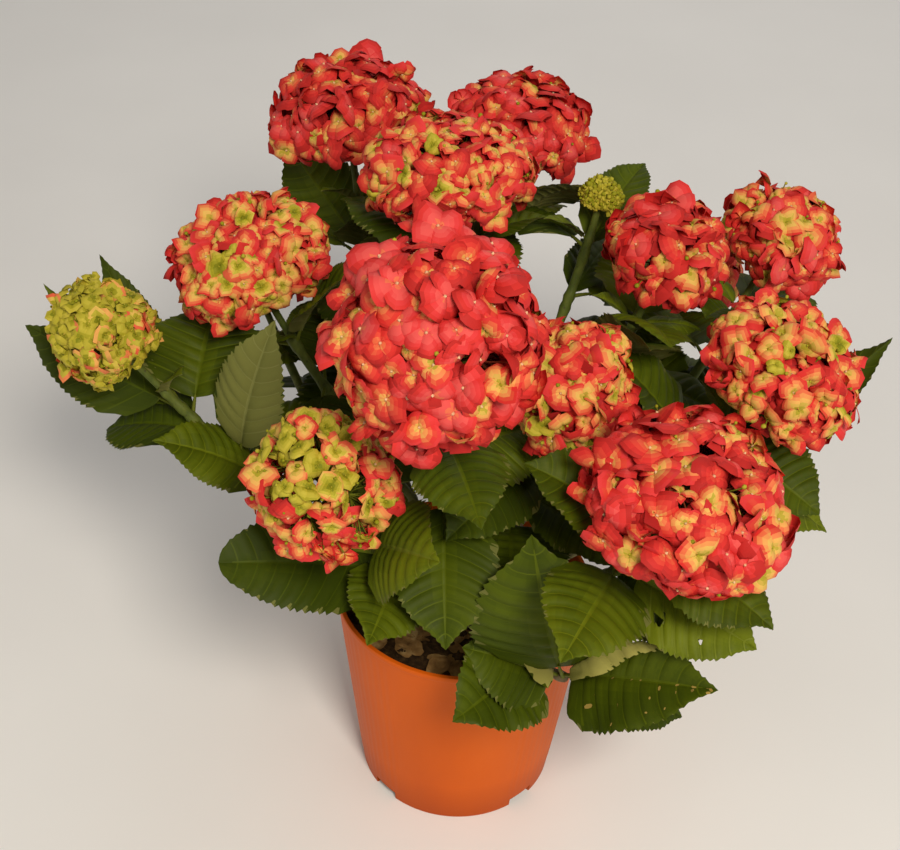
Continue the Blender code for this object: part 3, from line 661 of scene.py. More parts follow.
CLOD_PLACES = (0.08, 0.90)    # range over the soil's area, from its middle
CLOD_RISE = 0.35              # above the soil, against its size
CLOD_LUMPS = 0.55
CLOD_FLATNESS = 0.75
SCRAP_COUNT = 46
SCRAP_GRID = (9, 7)
SCRAP_LENGTHS = (0.010, 0.026)
LONG_SCRAP_LENGTHS = (0.020, 0.040)     # of every third scrap
SCRAP_WIDTHS = (0.35, 0.7)    # against their lengths
TWIG_WIDTH = 0.06             # of every fourth scrap
SCRAP_PLACES = (0.16, 1.0)    # range over the soil's area, from its middle
SCRAP_MARGIN = 0.006          # from the pot's wall
SCRAP_RAGGED = 0.25
SCRAP_CURLS = (0.1, 0.9)
SCRAP_TILTS = (-0.12, 0.35)
SCRAP_RISE = 0.0014           # above the soil
SCRAP_BUMPS = 0.0012
SCRAP_CORNER = (math.radians(195), math.radians(285))   # where every other scrap lies

# Young leaves: distance below the stem's upper end, length, lift and number.
YOUNG_LEAVES = (
    (0.004, 0.046, math.radians(20), 2),
    (0.024, 0.032, math.radians(48), 2),
    (0.052, 0.028, math.radians(50), 2),
    (0.090, 0.030, math.radians(50), 2),
)
YOUNG_TRIES = ((0, 0, 1.0), (24, 0, 1.0), (-24, 0, 1.0), (0, -25, 0.9), (50, 0, 0.8),
               (-50, 0, 0.8))
YOUNG_SWING = 0.4
YOUNG_SPREAD = 0.2
YOUNG_WIDTH_RATIO = 0.56
# Leaves with a look of their own, by shoot and number: the underside up, eaten,
# with dry spots, with a margin rolled in, or with a blunt tip.
SPECIAL_LEAVES = {
    ("left_outer", 5): "turned",
    ("front_right", 0): "holed",
    ("low_front", 0): "spotted",
    ("low_front", 2): "curled",
    ("front_left", 0): "blunt",
}
# Outline of a leaf: the smaller the first number, the fuller the leaf, and the
# larger the second, the narrower its tip.
LEAF_TIP = (0.80, 0.42)
BLUNT_TIP = (0.50, 0.0)
# Leaves whose spots or holes need a finer mesh.
FINE_LOOKS = ("holed", "spotted")
# Side of a rolled margin, and where it begins at the leaf's base, against the half-width.
CURLED = {"spotted": (-1, 0.18), "curled": (1, 0.0)}
CURL_RADIUS = 0.0022
CURL_END = math.radians(158)
SPOT_COUNT = 22
SPOT_SIDES = 9
SPOT_SIZES = (0.0006, 0.0016)
SPOT_RISE = 0.0003            # above the leaf's upper side
LARGE_SPOT_SHARE = 0.15       # spots of twice the size
# Holes of the eaten leaf: place along the blade, across it, and size.
HOLES = ((0.30, 0.45, 0.0052), (0.40, 0.20, 0.0030), (0.52, -0.35, 0.0022), (0.62, 0.55, 0.0026),
         (0.22, -0.50, 0.0030))

CAMERA_PLACE = (0.0, -0.996, 1.177)
CAMERA_ANGLES = (39.2, -1.0, 2.55)      # down, to the right, roll
CAMERA_LENS = 68.0
SENSOR_WIDTH = 36.0
# Lamps: place, size, power and colour. They look at LAMP_AIM.
LAMPS = {
    "key": ((0.48, -1.7, 2.15), 0.6, 47, (1.0, 0.92, 0.80)),
    "fill": ((1.9, -1.0, 1.3), 1.8, 7, (1.0, 0.96, 0.92)),
    "left": ((-1.7, -0.9, 1.3), 1.6, 5, (1.0, 0.95, 0.86)),
    "back": ((0.4, 2.2, 1.8), 1.6, 12, (1.0, 0.97, 0.94)),
}
LAMP_AIM = (0, 0, 0.38)
SURROUND = (1.0, 0.98, 0.95)
SURROUND_POWER = 0.24
FLOOR_HALF = 4

KINDS = ("lime", "blush", "gold", "turning", "coral", "rose")
# The last kind is for the hidden lower layer, which is coloured darker as painted shade.
ALL_KINDS = KINDS + ("deep",)           # the last one is for the hidden layer
HIDDEN_PAINTED_SHADE_KIND = len(KINDS)
RIPENING = KINDS.index("turning")       # from here on, eyes are those of open florets
RIPE = KINDS.index("coral")
# Share of each kind of floret on a head, from unripe to ripe, the radius of its
# florets, how many small buds sit between them, and how closely the florets stand.
HEAD_LOOKS = {
    "back_left": ((0.00, 0.00, 0.08, 0.22, 0.38, 0.32), 0.0150, 10, 1.0),
    "back_middle": ((0.02, 0.06, 0.47, 0.28, 0.12, 0.05), 0.0125, 25, 1.0),
    "back_right": ((0.00, 0.00, 0.04, 0.14, 0.42, 0.40), 0.0148, 10, 1.0),
    "left_upper": ((0.05, 0.10, 0.42, 0.28, 0.13, 0.02), 0.0116, 30, 1.0),
    "left_outer": ((0.62, 0.38, 0.00, 0.00, 0.00, 0.00), 0.0090, 50, 0.95),
    "front_top": ((0.00, 0.00, 0.05, 0.19, 0.38, 0.38), 0.0166, 14, 1.0),
    "middle_right": ((0.06, 0.13, 0.50, 0.22, 0.09, 0.00), 0.0126, 30, 1.0),
    "front_left": ((0.24, 0.22, 0.28, 0.20, 0.06, 0.00), 0.0126, 90, 0.80),
    "right_upper": ((0.00, 0.00, 0.16, 0.27, 0.32, 0.25), 0.0164, 8, 1.0),
    "right_back": ((0.00, 0.02, 0.24, 0.30, 0.28, 0.16), 0.0134, 20, 1.0),
    "right_outer": ((0.02, 0.06, 0.46, 0.32, 0.12, 0.02), 0.0126, 30, 1.0),
    "front_right": ((0.00, 0.00, 0.13, 0.30, 0.33, 0.24), 0.0160, 14, 1.0),
    "green_bud": ((1.00, 0.00, 0.00, 0.00, 0.00, 0.00), 0.0045, 120, 1.0),
    "rear_low": ((0.00, 0.02, 0.16, 0.30, 0.34, 0.18), 0.0148, 15, 1.0),
    "rear_left": ((0.04, 0.08, 0.42, 0.30, 0.12, 0.04), 0.0128, 25, 1.0),
    "rear_right": ((0.00, 0.00, 0.14, 0.28, 0.36, 0.22), 0.0148, 15, 1.0),
}
HEAD_SLOTS = {"left_outer": "sepals_green", "green_bud": "sepals_green",
              "left_upper": "sepals_yellow", "front_left": "sepals_yellow"}
# Heads that are riper towards their rims, and how far their florets are mixed still.
RIPE_RIMS = ("front_left", "left_outer")
RIPE_MIXING = 0.26

PLAIN_SPECULAR = 0.12

# Plain colours of leaves and stalks, and their roughness.
PLAIN = {
    "leaf_vein": ((0.160, 0.190, 0.014), 0.60),
    "leaf_under": ((0.150, 0.155, 0.036), 0.70),
    "leaf_under_vein": ((0.185, 0.190, 0.052), 0.70),
    "leaf_curl": ((0.400, 0.365, 0.090), 0.70),
    "leaf_spot": ((0.380, 0.260, 0.060), 0.80),
    "petiole": ((0.120, 0.140, 0.012), 0.60),
    "pedicel_green": ((0.180, 0.200, 0.016), 0.65),
    "pedicel_red": ((0.260, 0.050, 0.020), 0.65),
    "bud": ((0.280, 0.280, 0.012), 0.60),
    "bud_light": ((0.420, 0.380, 0.030), 0.60),
    "eye": ((0.800, 0.520, 0.300), 0.60),
}

# Colours of a leaf's upper side from dark to fresh, and of a sepal from its heart
# to its rim for each kind of floret. Each ramp is dealt out in even steps, as
# plain colours of their own.
LIME = (0.180, 0.190, 0.007)
LIME_LIGHT = (0.360, 0.320, 0.018)
# Pale yellow of lime and blush sepals: partly their own colour, partly a painted highlight on their
# middle.
LIME_PALE_AND_HIGHLIGHT = (0.540, 0.450, 0.050)
CREAM = (0.770, 0.470, 0.110)
PEACH = (0.780, 0.215, 0.075)
CORAL = (0.720, 0.075, 0.042)
CORAL_RED = (0.660, 0.034, 0.028)
ROSE = (0.700, 0.046, 0.046)
# Painted highlight: rose pink lightened for the middle of the sepals.
ROSE_PAINTED_HIGHLIGHT = (0.760, 0.092, 0.082)
# The sepals' own red rim, darkened further along its edge as painted shade.
RED_RIM_AND_SHADE = (0.430, 0.020, 0.017)
# Painted shade: the dark red of the hidden florets under the outer ones.
RED_PAINTED_SHADE = (0.300, 0.011, 0.011)
LEAF_RAMP = ((0.0, (0.034, 0.051, 0.0015)), (0.35, (0.057, 0.080, 0.002)),
             (0.65, (0.092, 0.120, 0.003)), (1.0, (0.142, 0.173, 0.006)))
LEAF_STEPS = 16
LEAF_ROUGHNESS = 0.56
SEPAL_RAMPS = {
    "lime": ((0.0, LIME), (0.30, LIME_LIGHT), (0.70, LIME_PALE_AND_HIGHLIGHT), (1.0, LIME_LIGHT)),
    "blush": ((0.0, LIME), (0.30, LIME_LIGHT), (0.58, LIME_PALE_AND_HIGHLIGHT), (0.74, CREAM), (0.88, PEACH),
              (1.0, CORAL)),
    "gold": ((0.0, LIME_LIGHT), (0.40, CREAM), (0.72, PEACH), (0.92, CORAL_RED)),
    "turning": ((0.0, LIME_LIGHT), (0.18, CREAM), (0.48, PEACH), (0.74, CORAL_RED), (1.0, ROSE)),
    # The coral and rose sepals darken to painted shade at their rims.
    "coral": ((0.0, CREAM), (0.16, PEACH), (0.42, CORAL), (0.70, CORAL_RED), (1.0, RED_RIM_AND_SHADE)),
    # The rose sepals carry a painted highlight over their middle.
    "rose": ((0.0, PEACH), (0.10, ROSE_PAINTED_HIGHLIGHT), (0.38, ROSE_PAINTED_HIGHLIGHT), (0.62, ROSE), (0.85, CORAL_RED),
             (1.0, RED_RIM_AND_SHADE)),
    # The hidden layer's ramp is painted shade in dark red.
    "deep": ((0.0, CORAL_RED), (0.3, RED_PAINTED_SHADE), (1.0, CORAL_RED)),
}
SEPAL_STEPS = 12
FLORET_TINTS = 0.10           # how much the colour varies from floret to floret,
SEPAL_TINTS = 0.07            # from sepal to sepal
STREAKS = 0.07                # and from one side of a sepal to the other
SEPAL_ROUGHNESS = 0.62
# Colour ramps of the pot, its pale dust, the soil, scraps, bark and stems.
POT_RAMP = ((0.30, (0.62, 0.098, 0.002)), (0.55, (0.68, 0.113, 0.003)),
            (0.75, (0.73, 0.132, 0.008)))
POT_DUST = ((0.66, (0, 0, 0)), (0.84, (0.22, 0.22, 0.22)))
SOIL_RAMP = ((0.32, (0.010, 0.005, 0.002)), (0.52, (0.046, 0.023, 0.008)),
             (0.68, (0.095, 0.052, 0.018)), (0.78, (0.21, 0.13, 0.05)))
SCRAP_RAMP = ((0.30, (0.11, 0.055, 0.016)), (0.52, (0.24, 0.13, 0.042)),
              (0.72, (0.40, 0.27, 0.11)))
BARK_RAMP = ((0.30, (0.045, 0.026, 0.013)), (0.50, (0.15, 0.095, 0.050)),
             (0.70, (0.30, 0.215, 0.13)))
STEM_GREEN = ((0.30, (0.055, 0.080, 0.010)), (0.70, (0.130, 0.155, 0.024)))
STEM_BROWN = ((0.30, (0.090, 0.060, 0.028)), (0.70, (0.235, 0.170, 0.090)))
STEM_PORES = ((0.66, (0, 0, 0)), (0.74, (0.7, 0.7, 0.7)))
FLOOR_RAMP = ((0.3, (0.86, 0.85, 0.83)), (0.7, (0.90, 0.89, 0.87)))
# How far the sepals of each kind are still closed over the heart.
CLOSED = {"lime": 0.60, "blush": 0.65, "gold": 0.65, "turning": 0.5, "coral": 0.25,
          "rose": 0.12, "deep": 0.3}
KIND_SIZES = {"lime": 0.68, "blush": 0.80, "gold": 0.86, "turning": 0.89, "coral": 0.95,
              "rose": 0.97, "deep": 0.93}


# ------------------------------------------------- piles of faces

def along_ramp(stops, place):
    """Colour at a place of a ramp of (position, colour) stops."""
    positions = [position for position, _ in stops]
    return tuple(float(np.interp(place, positions, [colour[i] for _, colour in stops]))
                 for i in range(3))


def all_tones():
    """Every plain colour by name, the steps of the sepals' ramps among them."""
    tones = dict(PLAIN)
    for step in range(LEAF_STEPS):
        tones[f"leaf_{step}"] = (along_ramp(LEAF_RAMP, (step + 0.5) / LEAF_STEPS), LEAF_ROUGHNESS)
    for kind, stops in SEPAL_RAMPS.items():
        for step in range(SEPAL_STEPS):
            colour = along_ramp(stops, (step + 0.5) / SEPAL_STEPS)
            tones[f"sepal_{kind}_{step}"] = (colour, SEPAL_ROUGHNESS)
    return tones


TONES = all_tones()
TONE_ORDER = tuple(TONES)


class Pile:
    """Points and four-cornered faces in plain colours, gathered into one piece."""

    def __init__(self):
        self.points = []
        self.faces = []
        self.tones = []
        self.count = 0

    def add(self, points, faces, tones):
        """Add points (n, 3), faces (m, 4) and the tone of each face."""
        self.points.append(points)
        self.faces.append(faces + self.count)
        self.tones.append(np.broadcast_to(tones, (len(faces),)))
        self.count += len(points)

    def make(self, name, slot, *nodes):
        """Turn the pile into an object that stands for the nodes."""
        points = np.concatenate(self.points)
        faces = np.concatenate(self.faces)
        tones = np.concatenate(self.tones)
        used, tones = np.unique(tones, return_inverse=True)
        mesh = bpy.data.meshes.new(name)
        mesh.vertices.add(len(points))
        mesh.vertices.foreach_set("co", points.astype(np.float32).ravel())
        mesh.loops.add(faces.size)
        mesh.loops.foreach_set("vertex_index", faces.astype(np.int32).ravel())
        mesh.polygons.add(len(faces))
        mesh.polygons.foreach_set("loop_start", np.arange(0, faces.size, 4, dtype=np.int32))
        for index in used:
            mesh.materials.append(plain(TONE_ORDER[index]))
        mesh.polygons.foreach_set("material_index", tones.astype(np.int32))
        mesh.update(calc_edges=True)
        return piece_of(mesh, nodes)


def new_object(name, data):
    """Object in the scene's collection."""
    obj = bpy.data.objects.new(name, data)
    bpy.context.scene.collection.objects.link(obj)
    return obj


def piece_of(mesh, nodes):
    """Smooth piece that rides on the plant, in place of the nodes it stands for, which are hidden."""
    mesh.validate()
    mesh.shade_smooth()
    obj = new_object(mesh.name, mesh)
    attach(obj, "root")
    if nodes:
        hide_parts(*nodes)
    return obj


def tone(name):
    """Number of a plain colour."""
    return TONE_ORDER.index(name)


def grid_faces(rows, columns, closed=False):
    """Faces of a grid of points, whose rows may close into rings."""
    a = np.arange(rows * columns).reshape(rows, columns)
    if closed:
        a = np.concatenate((a, a[:, :1]), axis=1)
    return np.stack((a[:-1, :-1], a[:-1, 1:], a[1:, 1:], a[1:, :-1]), axis=-1).reshape(-1, 4)


def tube(pile, centres, radii, sides, tone_index):
    """Thin tube along a few points."""
    centres = [Vector(c) for c in centres]
    points = []
    side = None
    for i, centre in enumerate(centres):
        along = (centres[min(i + 1, len(centres) - 1)] - centres[max(i - 1, 0)]).normalized()
        side = carried(side, along)
        points += circle(centre, side, along.cross(side), radii[i], sides)
    pile.add(np.array(points), grid_faces(len(centres), sides, True), tone_index)


# ------------------------------------------------- materials

def new_material(name):
    """Material, its node tree and the sockets of its Principled shader."""
    made = bpy.data.materials.new(name)
    made.use_nodes = True
    return made, made.node_tree, made.node_tree.nodes["Principled BSDF"].inputs


def plain(name):
    """Leaf or sepal material of one plain colour."""
    found = bpy.data.materials.get(name)
    if found:
        return found
    colour, roughness = TONES[name]
    made, _, sockets = new_material(name)
    sockets["Base Color"].default_value = (*colour, 1.0)
    sockets["Roughness"].default_value = roughness
    sockets["Specular IOR Level"].default_value = PLAIN_SPECULAR
    return made


def new_node(tree, kind, links=(), **values):
    """Node with some of its sockets linked and others set."""
    node = tree.nodes.new("ShaderNode" + kind)
    for name, output in links:
        tree.links.new(output, node.inputs[name])
    for name, value in values.items():
        node.inputs[name.replace("_", " ")].default_value = value
    return node


def noise_node(tree, scale, detail, stretch=(1, 1, 1)):
    """Noise over the object's own coordinates; returns its value socket."""
    place = new_node(tree, "TexCoord").outputs["Object"]
    mapping = new_node(tree, "Mapping", [("Vector", place)], Scale=stretch)
    pattern = new_node(tree, "TexNoise", [("Vector", mapping.outputs["Vector"])],
                       Scale=scale, Detail=detail)
    return pattern.outputs["Fac"]


def ramp_node(tree, value, stops):
    """Colour ramp on a value; stops are (position, colour)."""
    ramp = new_node(tree, "ValToRGB", [("Fac", value)])
    elements = ramp.color_ramp.elements
    while len(elements) < len(stops):
        elements.new(0.5)
    for element, (position, colour) in zip(elements, stops):
        element.position = position
        element.color = (*colour, 1.0)
    return ramp.outputs["Color"]


def range_node(tree, value, low, high):
    """The value from 0..1 mapped to low..high."""
    mapped = new_node(tree, "MapRange", [("Value", value)], To_Min=low, To_Max=high)
    return mapped.outputs["Result"]


def height_value(tree, low, high):
    """0 at height low, 1 at height high."""
    place = new_node(tree, "TexCoord").outputs["Object"]
    parts = new_node(tree, "SeparateXYZ", [("Vector", place)])
    mapped = new_node(tree, "MapRange", [("Value", parts.outputs["Z"])],
                      From_Min=low, From_Max=high)
    return mapped.outputs["Result"]


def mixed(tree, factor, first, second, blend="MIX"):
    """Mix two colours; each is a socket or a plain colour."""
    mix = tree.nodes.new("ShaderNodeMix")
    mix.data_type = "RGBA"
    mix.blend_type = blend
    if isinstance(factor, float):
        mix.inputs["Factor"].default_value = factor
    else:
        tree.links.new(factor, mix.inputs["Factor"])
    for name, colour in (("A", first), ("B", second)):
        socket = [s for s in mix.inputs if s.name == name and s.type == "RGBA"][0]
        if isinstance(colour, tuple):
            socket.default_value = (*colour, 1.0)
        else:
            tree.links.new(colour, socket)
    return [s for s in mix.outputs if s.type == "RGBA"][0]


def finish(tree, sockets, colour, roughness, relief, specular):
    """Link a material's colour, roughness and relief: height value, strength, distance."""
    tree.links.new(colour, sockets["Base Color"])
    if isinstance(roughness, float):
        sockets["Roughness"].default_value = roughness
    else:
        tree.links.new(roughness, sockets["Roughness"])
    sockets["Specular IOR Level"].default_value = specular
    height, strength, distance = relief
    bump = new_node(tree, "Bump", [("Height", height)], Strength=strength, Distance=distance)
    tree.links.new(bump.outputs["Normal"], sockets["Normal"])


def pot_material():
    """Thin moulded plastic in terracotta orange, paler where it is scuffed."""
    made, tree, sockets = new_material("pot_plastic_look")
    clouds = noise_node(tree, 14, 4, (1, 1, 0.35))
    specks = noise_node(tree, 420, 2)
    colour = ramp_node(tree, clouds, POT_RAMP)
    dust = ramp_node(tree, specks, POT_DUST)
    colour = mixed(tree, dust, colour, (0.70, 0.24, 0.10))
    # Darker towards the foot.
    foot = height_value(tree, 0.045, 0.0)
    foot_darkening = mixed(tree, foot, (1.0, 1.0, 1.0), (0.72, 0.66, 0.62))
    colour = mixed(tree, 1.0, colour, foot_darkening, "MULTIPLY")
    finish(tree, sockets, colour, range_node(tree, clouds, 0.40, 0.58), (specks, 0.12, 0.0004),
           0.16)
    return made


def soil_material():
    """Dark moist soil with paler fibres."""
    made, tree, sockets = new_material("soil_look")
    grains = noise_node(tree, 230, 6)
    colour = mixed(tree, noise_node(tree, 38, 4), ramp_node(tree, grains, SOIL_RAMP),
                   (0.034, 0.017, 0.006))
    finish(tree, sockets, colour, range_node(tree, grains, 0.75, 1.0), (grains, 0.9, 0.0020), 0.15)
    return made


def scrap_material():
    """Dry brown leaf scraps and bits of bark."""
    made, tree, sockets = new_material("dry_scraps")
    clouds = noise_node(tree, 90, 5)
    finish(tree, sockets, ramp_node(tree, clouds, SCRAP_RAMP), 0.85, (clouds, 0.7, 0.0010), 0.15)
    return made


def bark_material():
    """Grey-brown flaking bark of the old crown."""
    made, tree, sockets = new_material("bark_look")
    strips = noise_node(tree, 120, 6, (1, 1, 0.22))
    colour = mixed(tree, noise_node(tree, 40, 3), ramp_node(tree, strips, BARK_RAMP),
                   (0.11, 0.075, 0.035))
    finish(tree, sockets, colour, range_node(tree, strips, 0.70, 0.95), (strips, 0.9, 0.0015), 0.5)
    return made


def stem_material():
    """Young bark: brown at the foot, green higher up, with small pale pores."""
    made, tree, sockets = new_material("stem_look")
    fibres = noise_node(tree, 160, 5, (1, 1, 0.30))
    pores = noise_node(tree, 520, 1, (1, 1, 0.5))
    colour = mixed(tree, height_value(tree, 0.215, 0.330), ramp_node(tree, fibres, STEM_BROWN),
                   ramp_node(tree, fibres, STEM_GREEN))
    colour = mixed(tree, ramp_node(tree, pores, STEM_PORES), colour, (0.045, 0.030, 0.014))
    finish(tree, sockets, colour, range_node(tree, fibres, 0.45, 0.65), (fibres, 0.5, 0.0006), 0.2)
    return made


# ------------------------------------------------- leaves

def eased(low, high, value):
    """0 below low, 1 above high, eased between; takes arrays."""
    t = np.clip((value - low) / (high - low), 0, 1)
    return t * t * (3 - 2 * t)


def vein_lines(intervals):
    """Cross lines of a blade: start on the midrib, place between veins, tooth."""
    starts, between, teeth = [], [], []
    for interval in range(intervals):
        for offset, tooth in zip(VEIN_OFFSETS, VEIN_TEETH):
            starts.append((interval + offset) / intervals)
            between.append(offset)
            teeth.append(tooth)
    return np.array(starts + [1.0]), np.array(between + [1.0]), np.array(teeth + [0.0])


def halved(values):
    """The values with one more between each two."""
    values = np.asarray(values, float)
    middles = (values[1:] + values[:-1]) / 2
    return np.insert(values, np.arange(1, len(values)), middles)


def mirrored(columns):
    """Columns of one side, from the middle, as columns of both sides."""
    return np.array([-c for c in reversed(columns[1:])] + list(columns))


def scaled(vector, numbers):
    """The vector times each number of an array."""
    return numbers[..., None] * np.array(vector)


def fold_line(start, s):
    """Where a rolled margin begins, against the half-width, along the blade."""
    return start + (1 - start) * s ** 1.3


class Blade:
    """One leaf: stalk, veined upper side, paler underside and toothed margin."""

    def __init__(self, rng, root, tip, width, roll, intervals, look):
        self.rng, self.root, self.width, self.look = rng, root, width, look
        self.length = (tip - root).length
        self.along, self.across, self.facing = leaf_directions(root, tip, roll)
        self.flipped = (abs(roll) > 90) != (look == "turned")
        self.start, self.between, self.teeth = vein_lines(intervals)
        self.vein = self.between[:-1] == 0
        self.columns = mirrored(BLADE_COLUMNS)
        if look in FINE_LOOKS:
            self.start, self.teeth = halved(self.start), halved(self.teeth)
            self.between = halved(self.between)
            self.vein = np.repeat(self.vein, 2)
            self.columns = halved(self.columns)

    def midrib(self, t):
        """Points on the midrib and the blade's upward direction there."""
        t = np.asarray(t, float)
        arch = 4 * LEAF_ARCH * self.length
        points = (np.array(self.root) + scaled(self.along * self.length, t)
                  + scaled(self.facing, arch * t * (1 - t)))
        slope = np.arctan(arch * (1 - 2 * t) / self.length)
        normals = scaled(self.facing, np.cos(slope)) - scaled(self.along, np.sin(slope))
        return points, normals

    def surfaces(self):
        """Points of the upper and lower side, as grids of lines by columns."""
        rng, width = self.rng, self.width
        v = self.columns[None, :]
        v_size = np.abs(v)
        start, between, teeth = self.start[:, None], self.between[:, None], self.teeth[:, None]
        sweep = VEIN_SWEEP * eased(0.0, FULL_SWEEP, start) * (1 - start) ** 0.8
        s = start + sweep * v_size ** 1.2
        edge = v_size ** 6
        ragged = np.array([[rng.uniform(*TOOTH_SIZES), rng.uniform(*TOOTH_SIZES)] for _ in teeth])
        teeth = teeth * np.where(v < 0, ragged[:, :1], ragged[:, 1:])
        s = s + edge * TOOTH_LEAN * teeth * (1 - start)
        s = np.clip(s, 0, 1)
        fullness, narrowing = BLUNT_TIP if self.look == "blunt" else LEAF_TIP
        half = width / 2 * np.sin(np.pi * s ** WIDEST) ** fullness
        half = half * (1 - narrowing * eased(*TIP_STRETCH, s))
        half = np.maximum(half, BLADE_THICKNESS * (1 - s))
        half = half + edge * TOOTH * width * teeth * np.sqrt(np.clip(np.sin(np.pi * s), 0, 1))
        lateral = v * half
        rolled, turned, sign = 0 * lateral, 0 * lateral, 1
        if self.look in CURLED:
            sign, start = CURLED[self.look]
            straight = half * fold_line(start, s)
            beyond = np.maximum(0, sign * v * half - straight)
            arc = np.minimum(beyond, CURL_RADIUS * CURL_END)
            flap = beyond - arc
            turned = arc / CURL_RADIUS
            inside = straight + CURL_RADIUS * np.sin(turned) + flap * math.cos(CURL_END)
            rolled = CURL_RADIUS * (1 - np.cos(turned)) + flap * math.sin(CURL_END)
            lateral = np.where(beyond > 0, sign * inside, lateral)
        fold = LEAF_FOLD * rng.uniform(*FOLDS)
        curl = rng.uniform(*EDGE_CURLS) * (self.look not in CURLED)
        high = np.abs(lateral) * fold - curl * lateral ** 2 / (width / 2) + rolled
        quilt = np.sin(np.pi * between) * (4 * v_size * (1 - v_size)) ** 0.5
        high = high + QUILTING * width * quilt * np.sin(np.pi * s) ** 0.5
        waves = rng.uniform(*WAVE_COUNTS)
        phase = rng.uniform(0, 2 * math.pi)
        ripple = np.sin(2 * np.pi * waves * s + phase + (v > 0) * rng.uniform(*WAVE_SHIFTS))
        high = high + EDGE_WAVE * width * ripple * v_size ** 2 * np.sin(np.pi * s) ** 0.5
        rib = np.maximum(0, 1 - v_size / MIDRIB_SHARE) * (1 - s)
        t = PETIOLE_SHARE + (1 - PETIOLE_SHARE) * s
        middle, normal = self.midrib(t)
        base = middle + scaled(self.across, lateral)
        upper = base + normal * (high - MIDRIB_DEPTH * rib)[..., None]
        thick = BLADE_THICKNESS * (1 - v_size ** 4) + MIDRIB_DEPTH * rib
        thick = thick + (np.sin(np.pi * between) < 0.01) * VEIN_RELIEF * (1 - v_size)
        below = normal * -np.cos(turned)[..., None] + scaled(self.across, sign * np.sin(turned))
        lower = base + normal * high[..., None] + below * thick[..., None]
        return upper, lower, s

    def near_vein(self, rows):
        """1 for the lines of faces that lie right beside a side vein, else 0."""
        beside = np.zeros(rows)
        beside[1:] += self.vein[:rows - 1]
        beside[:-1] += self.vein[1:rows]
        return np.minimum(beside, 1)

    def tones(self, s):
        """Tone of every face of both sides."""
        rng, v = self.rng, self.columns
        rows, columns = len(self.start) - 1, len(v) - 1
        centre = np.abs(v[:-1] + v[1:]) / 2
        place = (s[:-1, :-1] + s[1:, 1:]) / 2
        greens = [tone(f"leaf_{step}") for step in range(LEAF_STEPS)]
        base = rng.choices(LEAF_SHADES, LEAF_SHADE_SHARES)[0]
        # Young leaves are fresher in their own colour. The eaten leaf is made fresher as painted
        # light.
        if self.length < YOUNG_LENGTH or self.look == "holed":
            base = rng.choice(YOUNG_AND_PAINTED_LIGHT_SHADES)
        shade = np.full((rows, columns), base)
        clouds = np.sin(place * rng.uniform(5, 9) + v[None, :-1] * 3 + rng.uniform(0, 6))
        shade += SHADE_CLOUDS * clouds
        shade += SHADE_MIDDLE * (centre[None, :] < 0.2) * (1 - place)
        # Painted shade in the grooves beside the side veins.
        shade -= VEIN_GROOVE_PAINTED_SHADE * self.near_vein(rows)[:, None]
        scatter = np.array([rng.uniform(-SHADE_SCATTER, SHADE_SCATTER)
                            for _ in range(rows * columns)])
        shade = np.clip(shade + scatter.reshape(rows, columns), 0, 0.999)
        upper = np.array(greens)[(shade * LEAF_STEPS).astype(int)]
        is_vein = self.vein[:, None] & (centre[None, :] < 0.9)
        is_rib = (centre[None, :] < 0.05) & (place < 0.93)
        paler = int((base + VEIN_PALER) * LEAF_STEPS)
        upper[is_vein | is_rib] = greens[paler] if paler < LEAF_STEPS else tone("leaf_vein")
        lower = np.full((rows, columns), tone("leaf_under"))
        lower[is_vein | is_rib] = tone("leaf_under_vein")
        if self.look in CURLED:
            sign, start = CURLED[self.look]
            beyond = sign * (v[1:] + v[:-1])[None, :] / 2 > fold_line(start, place)
            lower[beyond] = tone("leaf_curl")
        return (lower, upper) if self.flipped else (upper, lower)

    def bitten(self, upper, lower, faces, s):
        """Ragged holes: points inside move to the edge, faces inside go."""
        kept = np.ones(len(faces), bool)
        across = np.broadcast_to(self.columns[None, :], s.shape).ravel()
        for place, side, size in HOLES:
            near = np.argmin((s.ravel() - place) ** 2 + (0.4 * (across - side)) ** 2)
            centre = upper[near].copy()
            away = upper - centre
            distance = np.linalg.norm(away, axis=1)
            around = np.arctan2(away @ np.array(self.across), away @ np.array(self.along))
            edge = size * (1 + 0.28 * np.sin(3 * around + 9 * side) + 0.16 * np.sin(7 * around))
            inside = distance < edge
            kept &= ~inside[faces].all(axis=1)
            scale = edge[inside] / np.maximum(distance[inside], 1e-5)
            shift = away[inside] * (scale - 1)[:, None]
            upper[inside] += shift
            lower[inside] += shift
        return kept

    def add_spots(self, pile, upper):
        """Small dry spots with uneven edges, just above the upper side."""
        rows, columns = upper.shape[:2]
        away = np.cross(upper[1:, :-1] - upper[:-1, :-1], upper[:-1, 1:] - upper[:-1, :-1])
        for _ in range(SPOT_COUNT):
            row = self.rng.randrange(rows // 8, rows - 3)
            column = self.rng.randrange(columns // 2, columns - 2)
            normal = Vector(away[row, column]).normalized()
            normal *= 1 if normal.dot(self.facing) > 0 else -1
            size = self.rng.uniform(*SPOT_SIZES)
            size *= 2 if self.rng.random() < LARGE_SPOT_SHARE else 1
            side = normal.orthogonal().normalized()
            other = normal.cross(side)
            centre = Vector(upper[row, column]) + normal * SPOT_RISE
            points = []
            for reach in (0.05, 1.0):
                for angle in turns(SPOT_SIDES):
                    edge = size * reach * (1 + 0.3 * math.sin(2 * angle + row))
                    out = side * math.cos(angle) + other * math.sin(angle)
                    points.append(centre + out * edge)
            pile.add(np.array(points), grid_faces(2, SPOT_SIDES, True), tone("leaf_spot"))

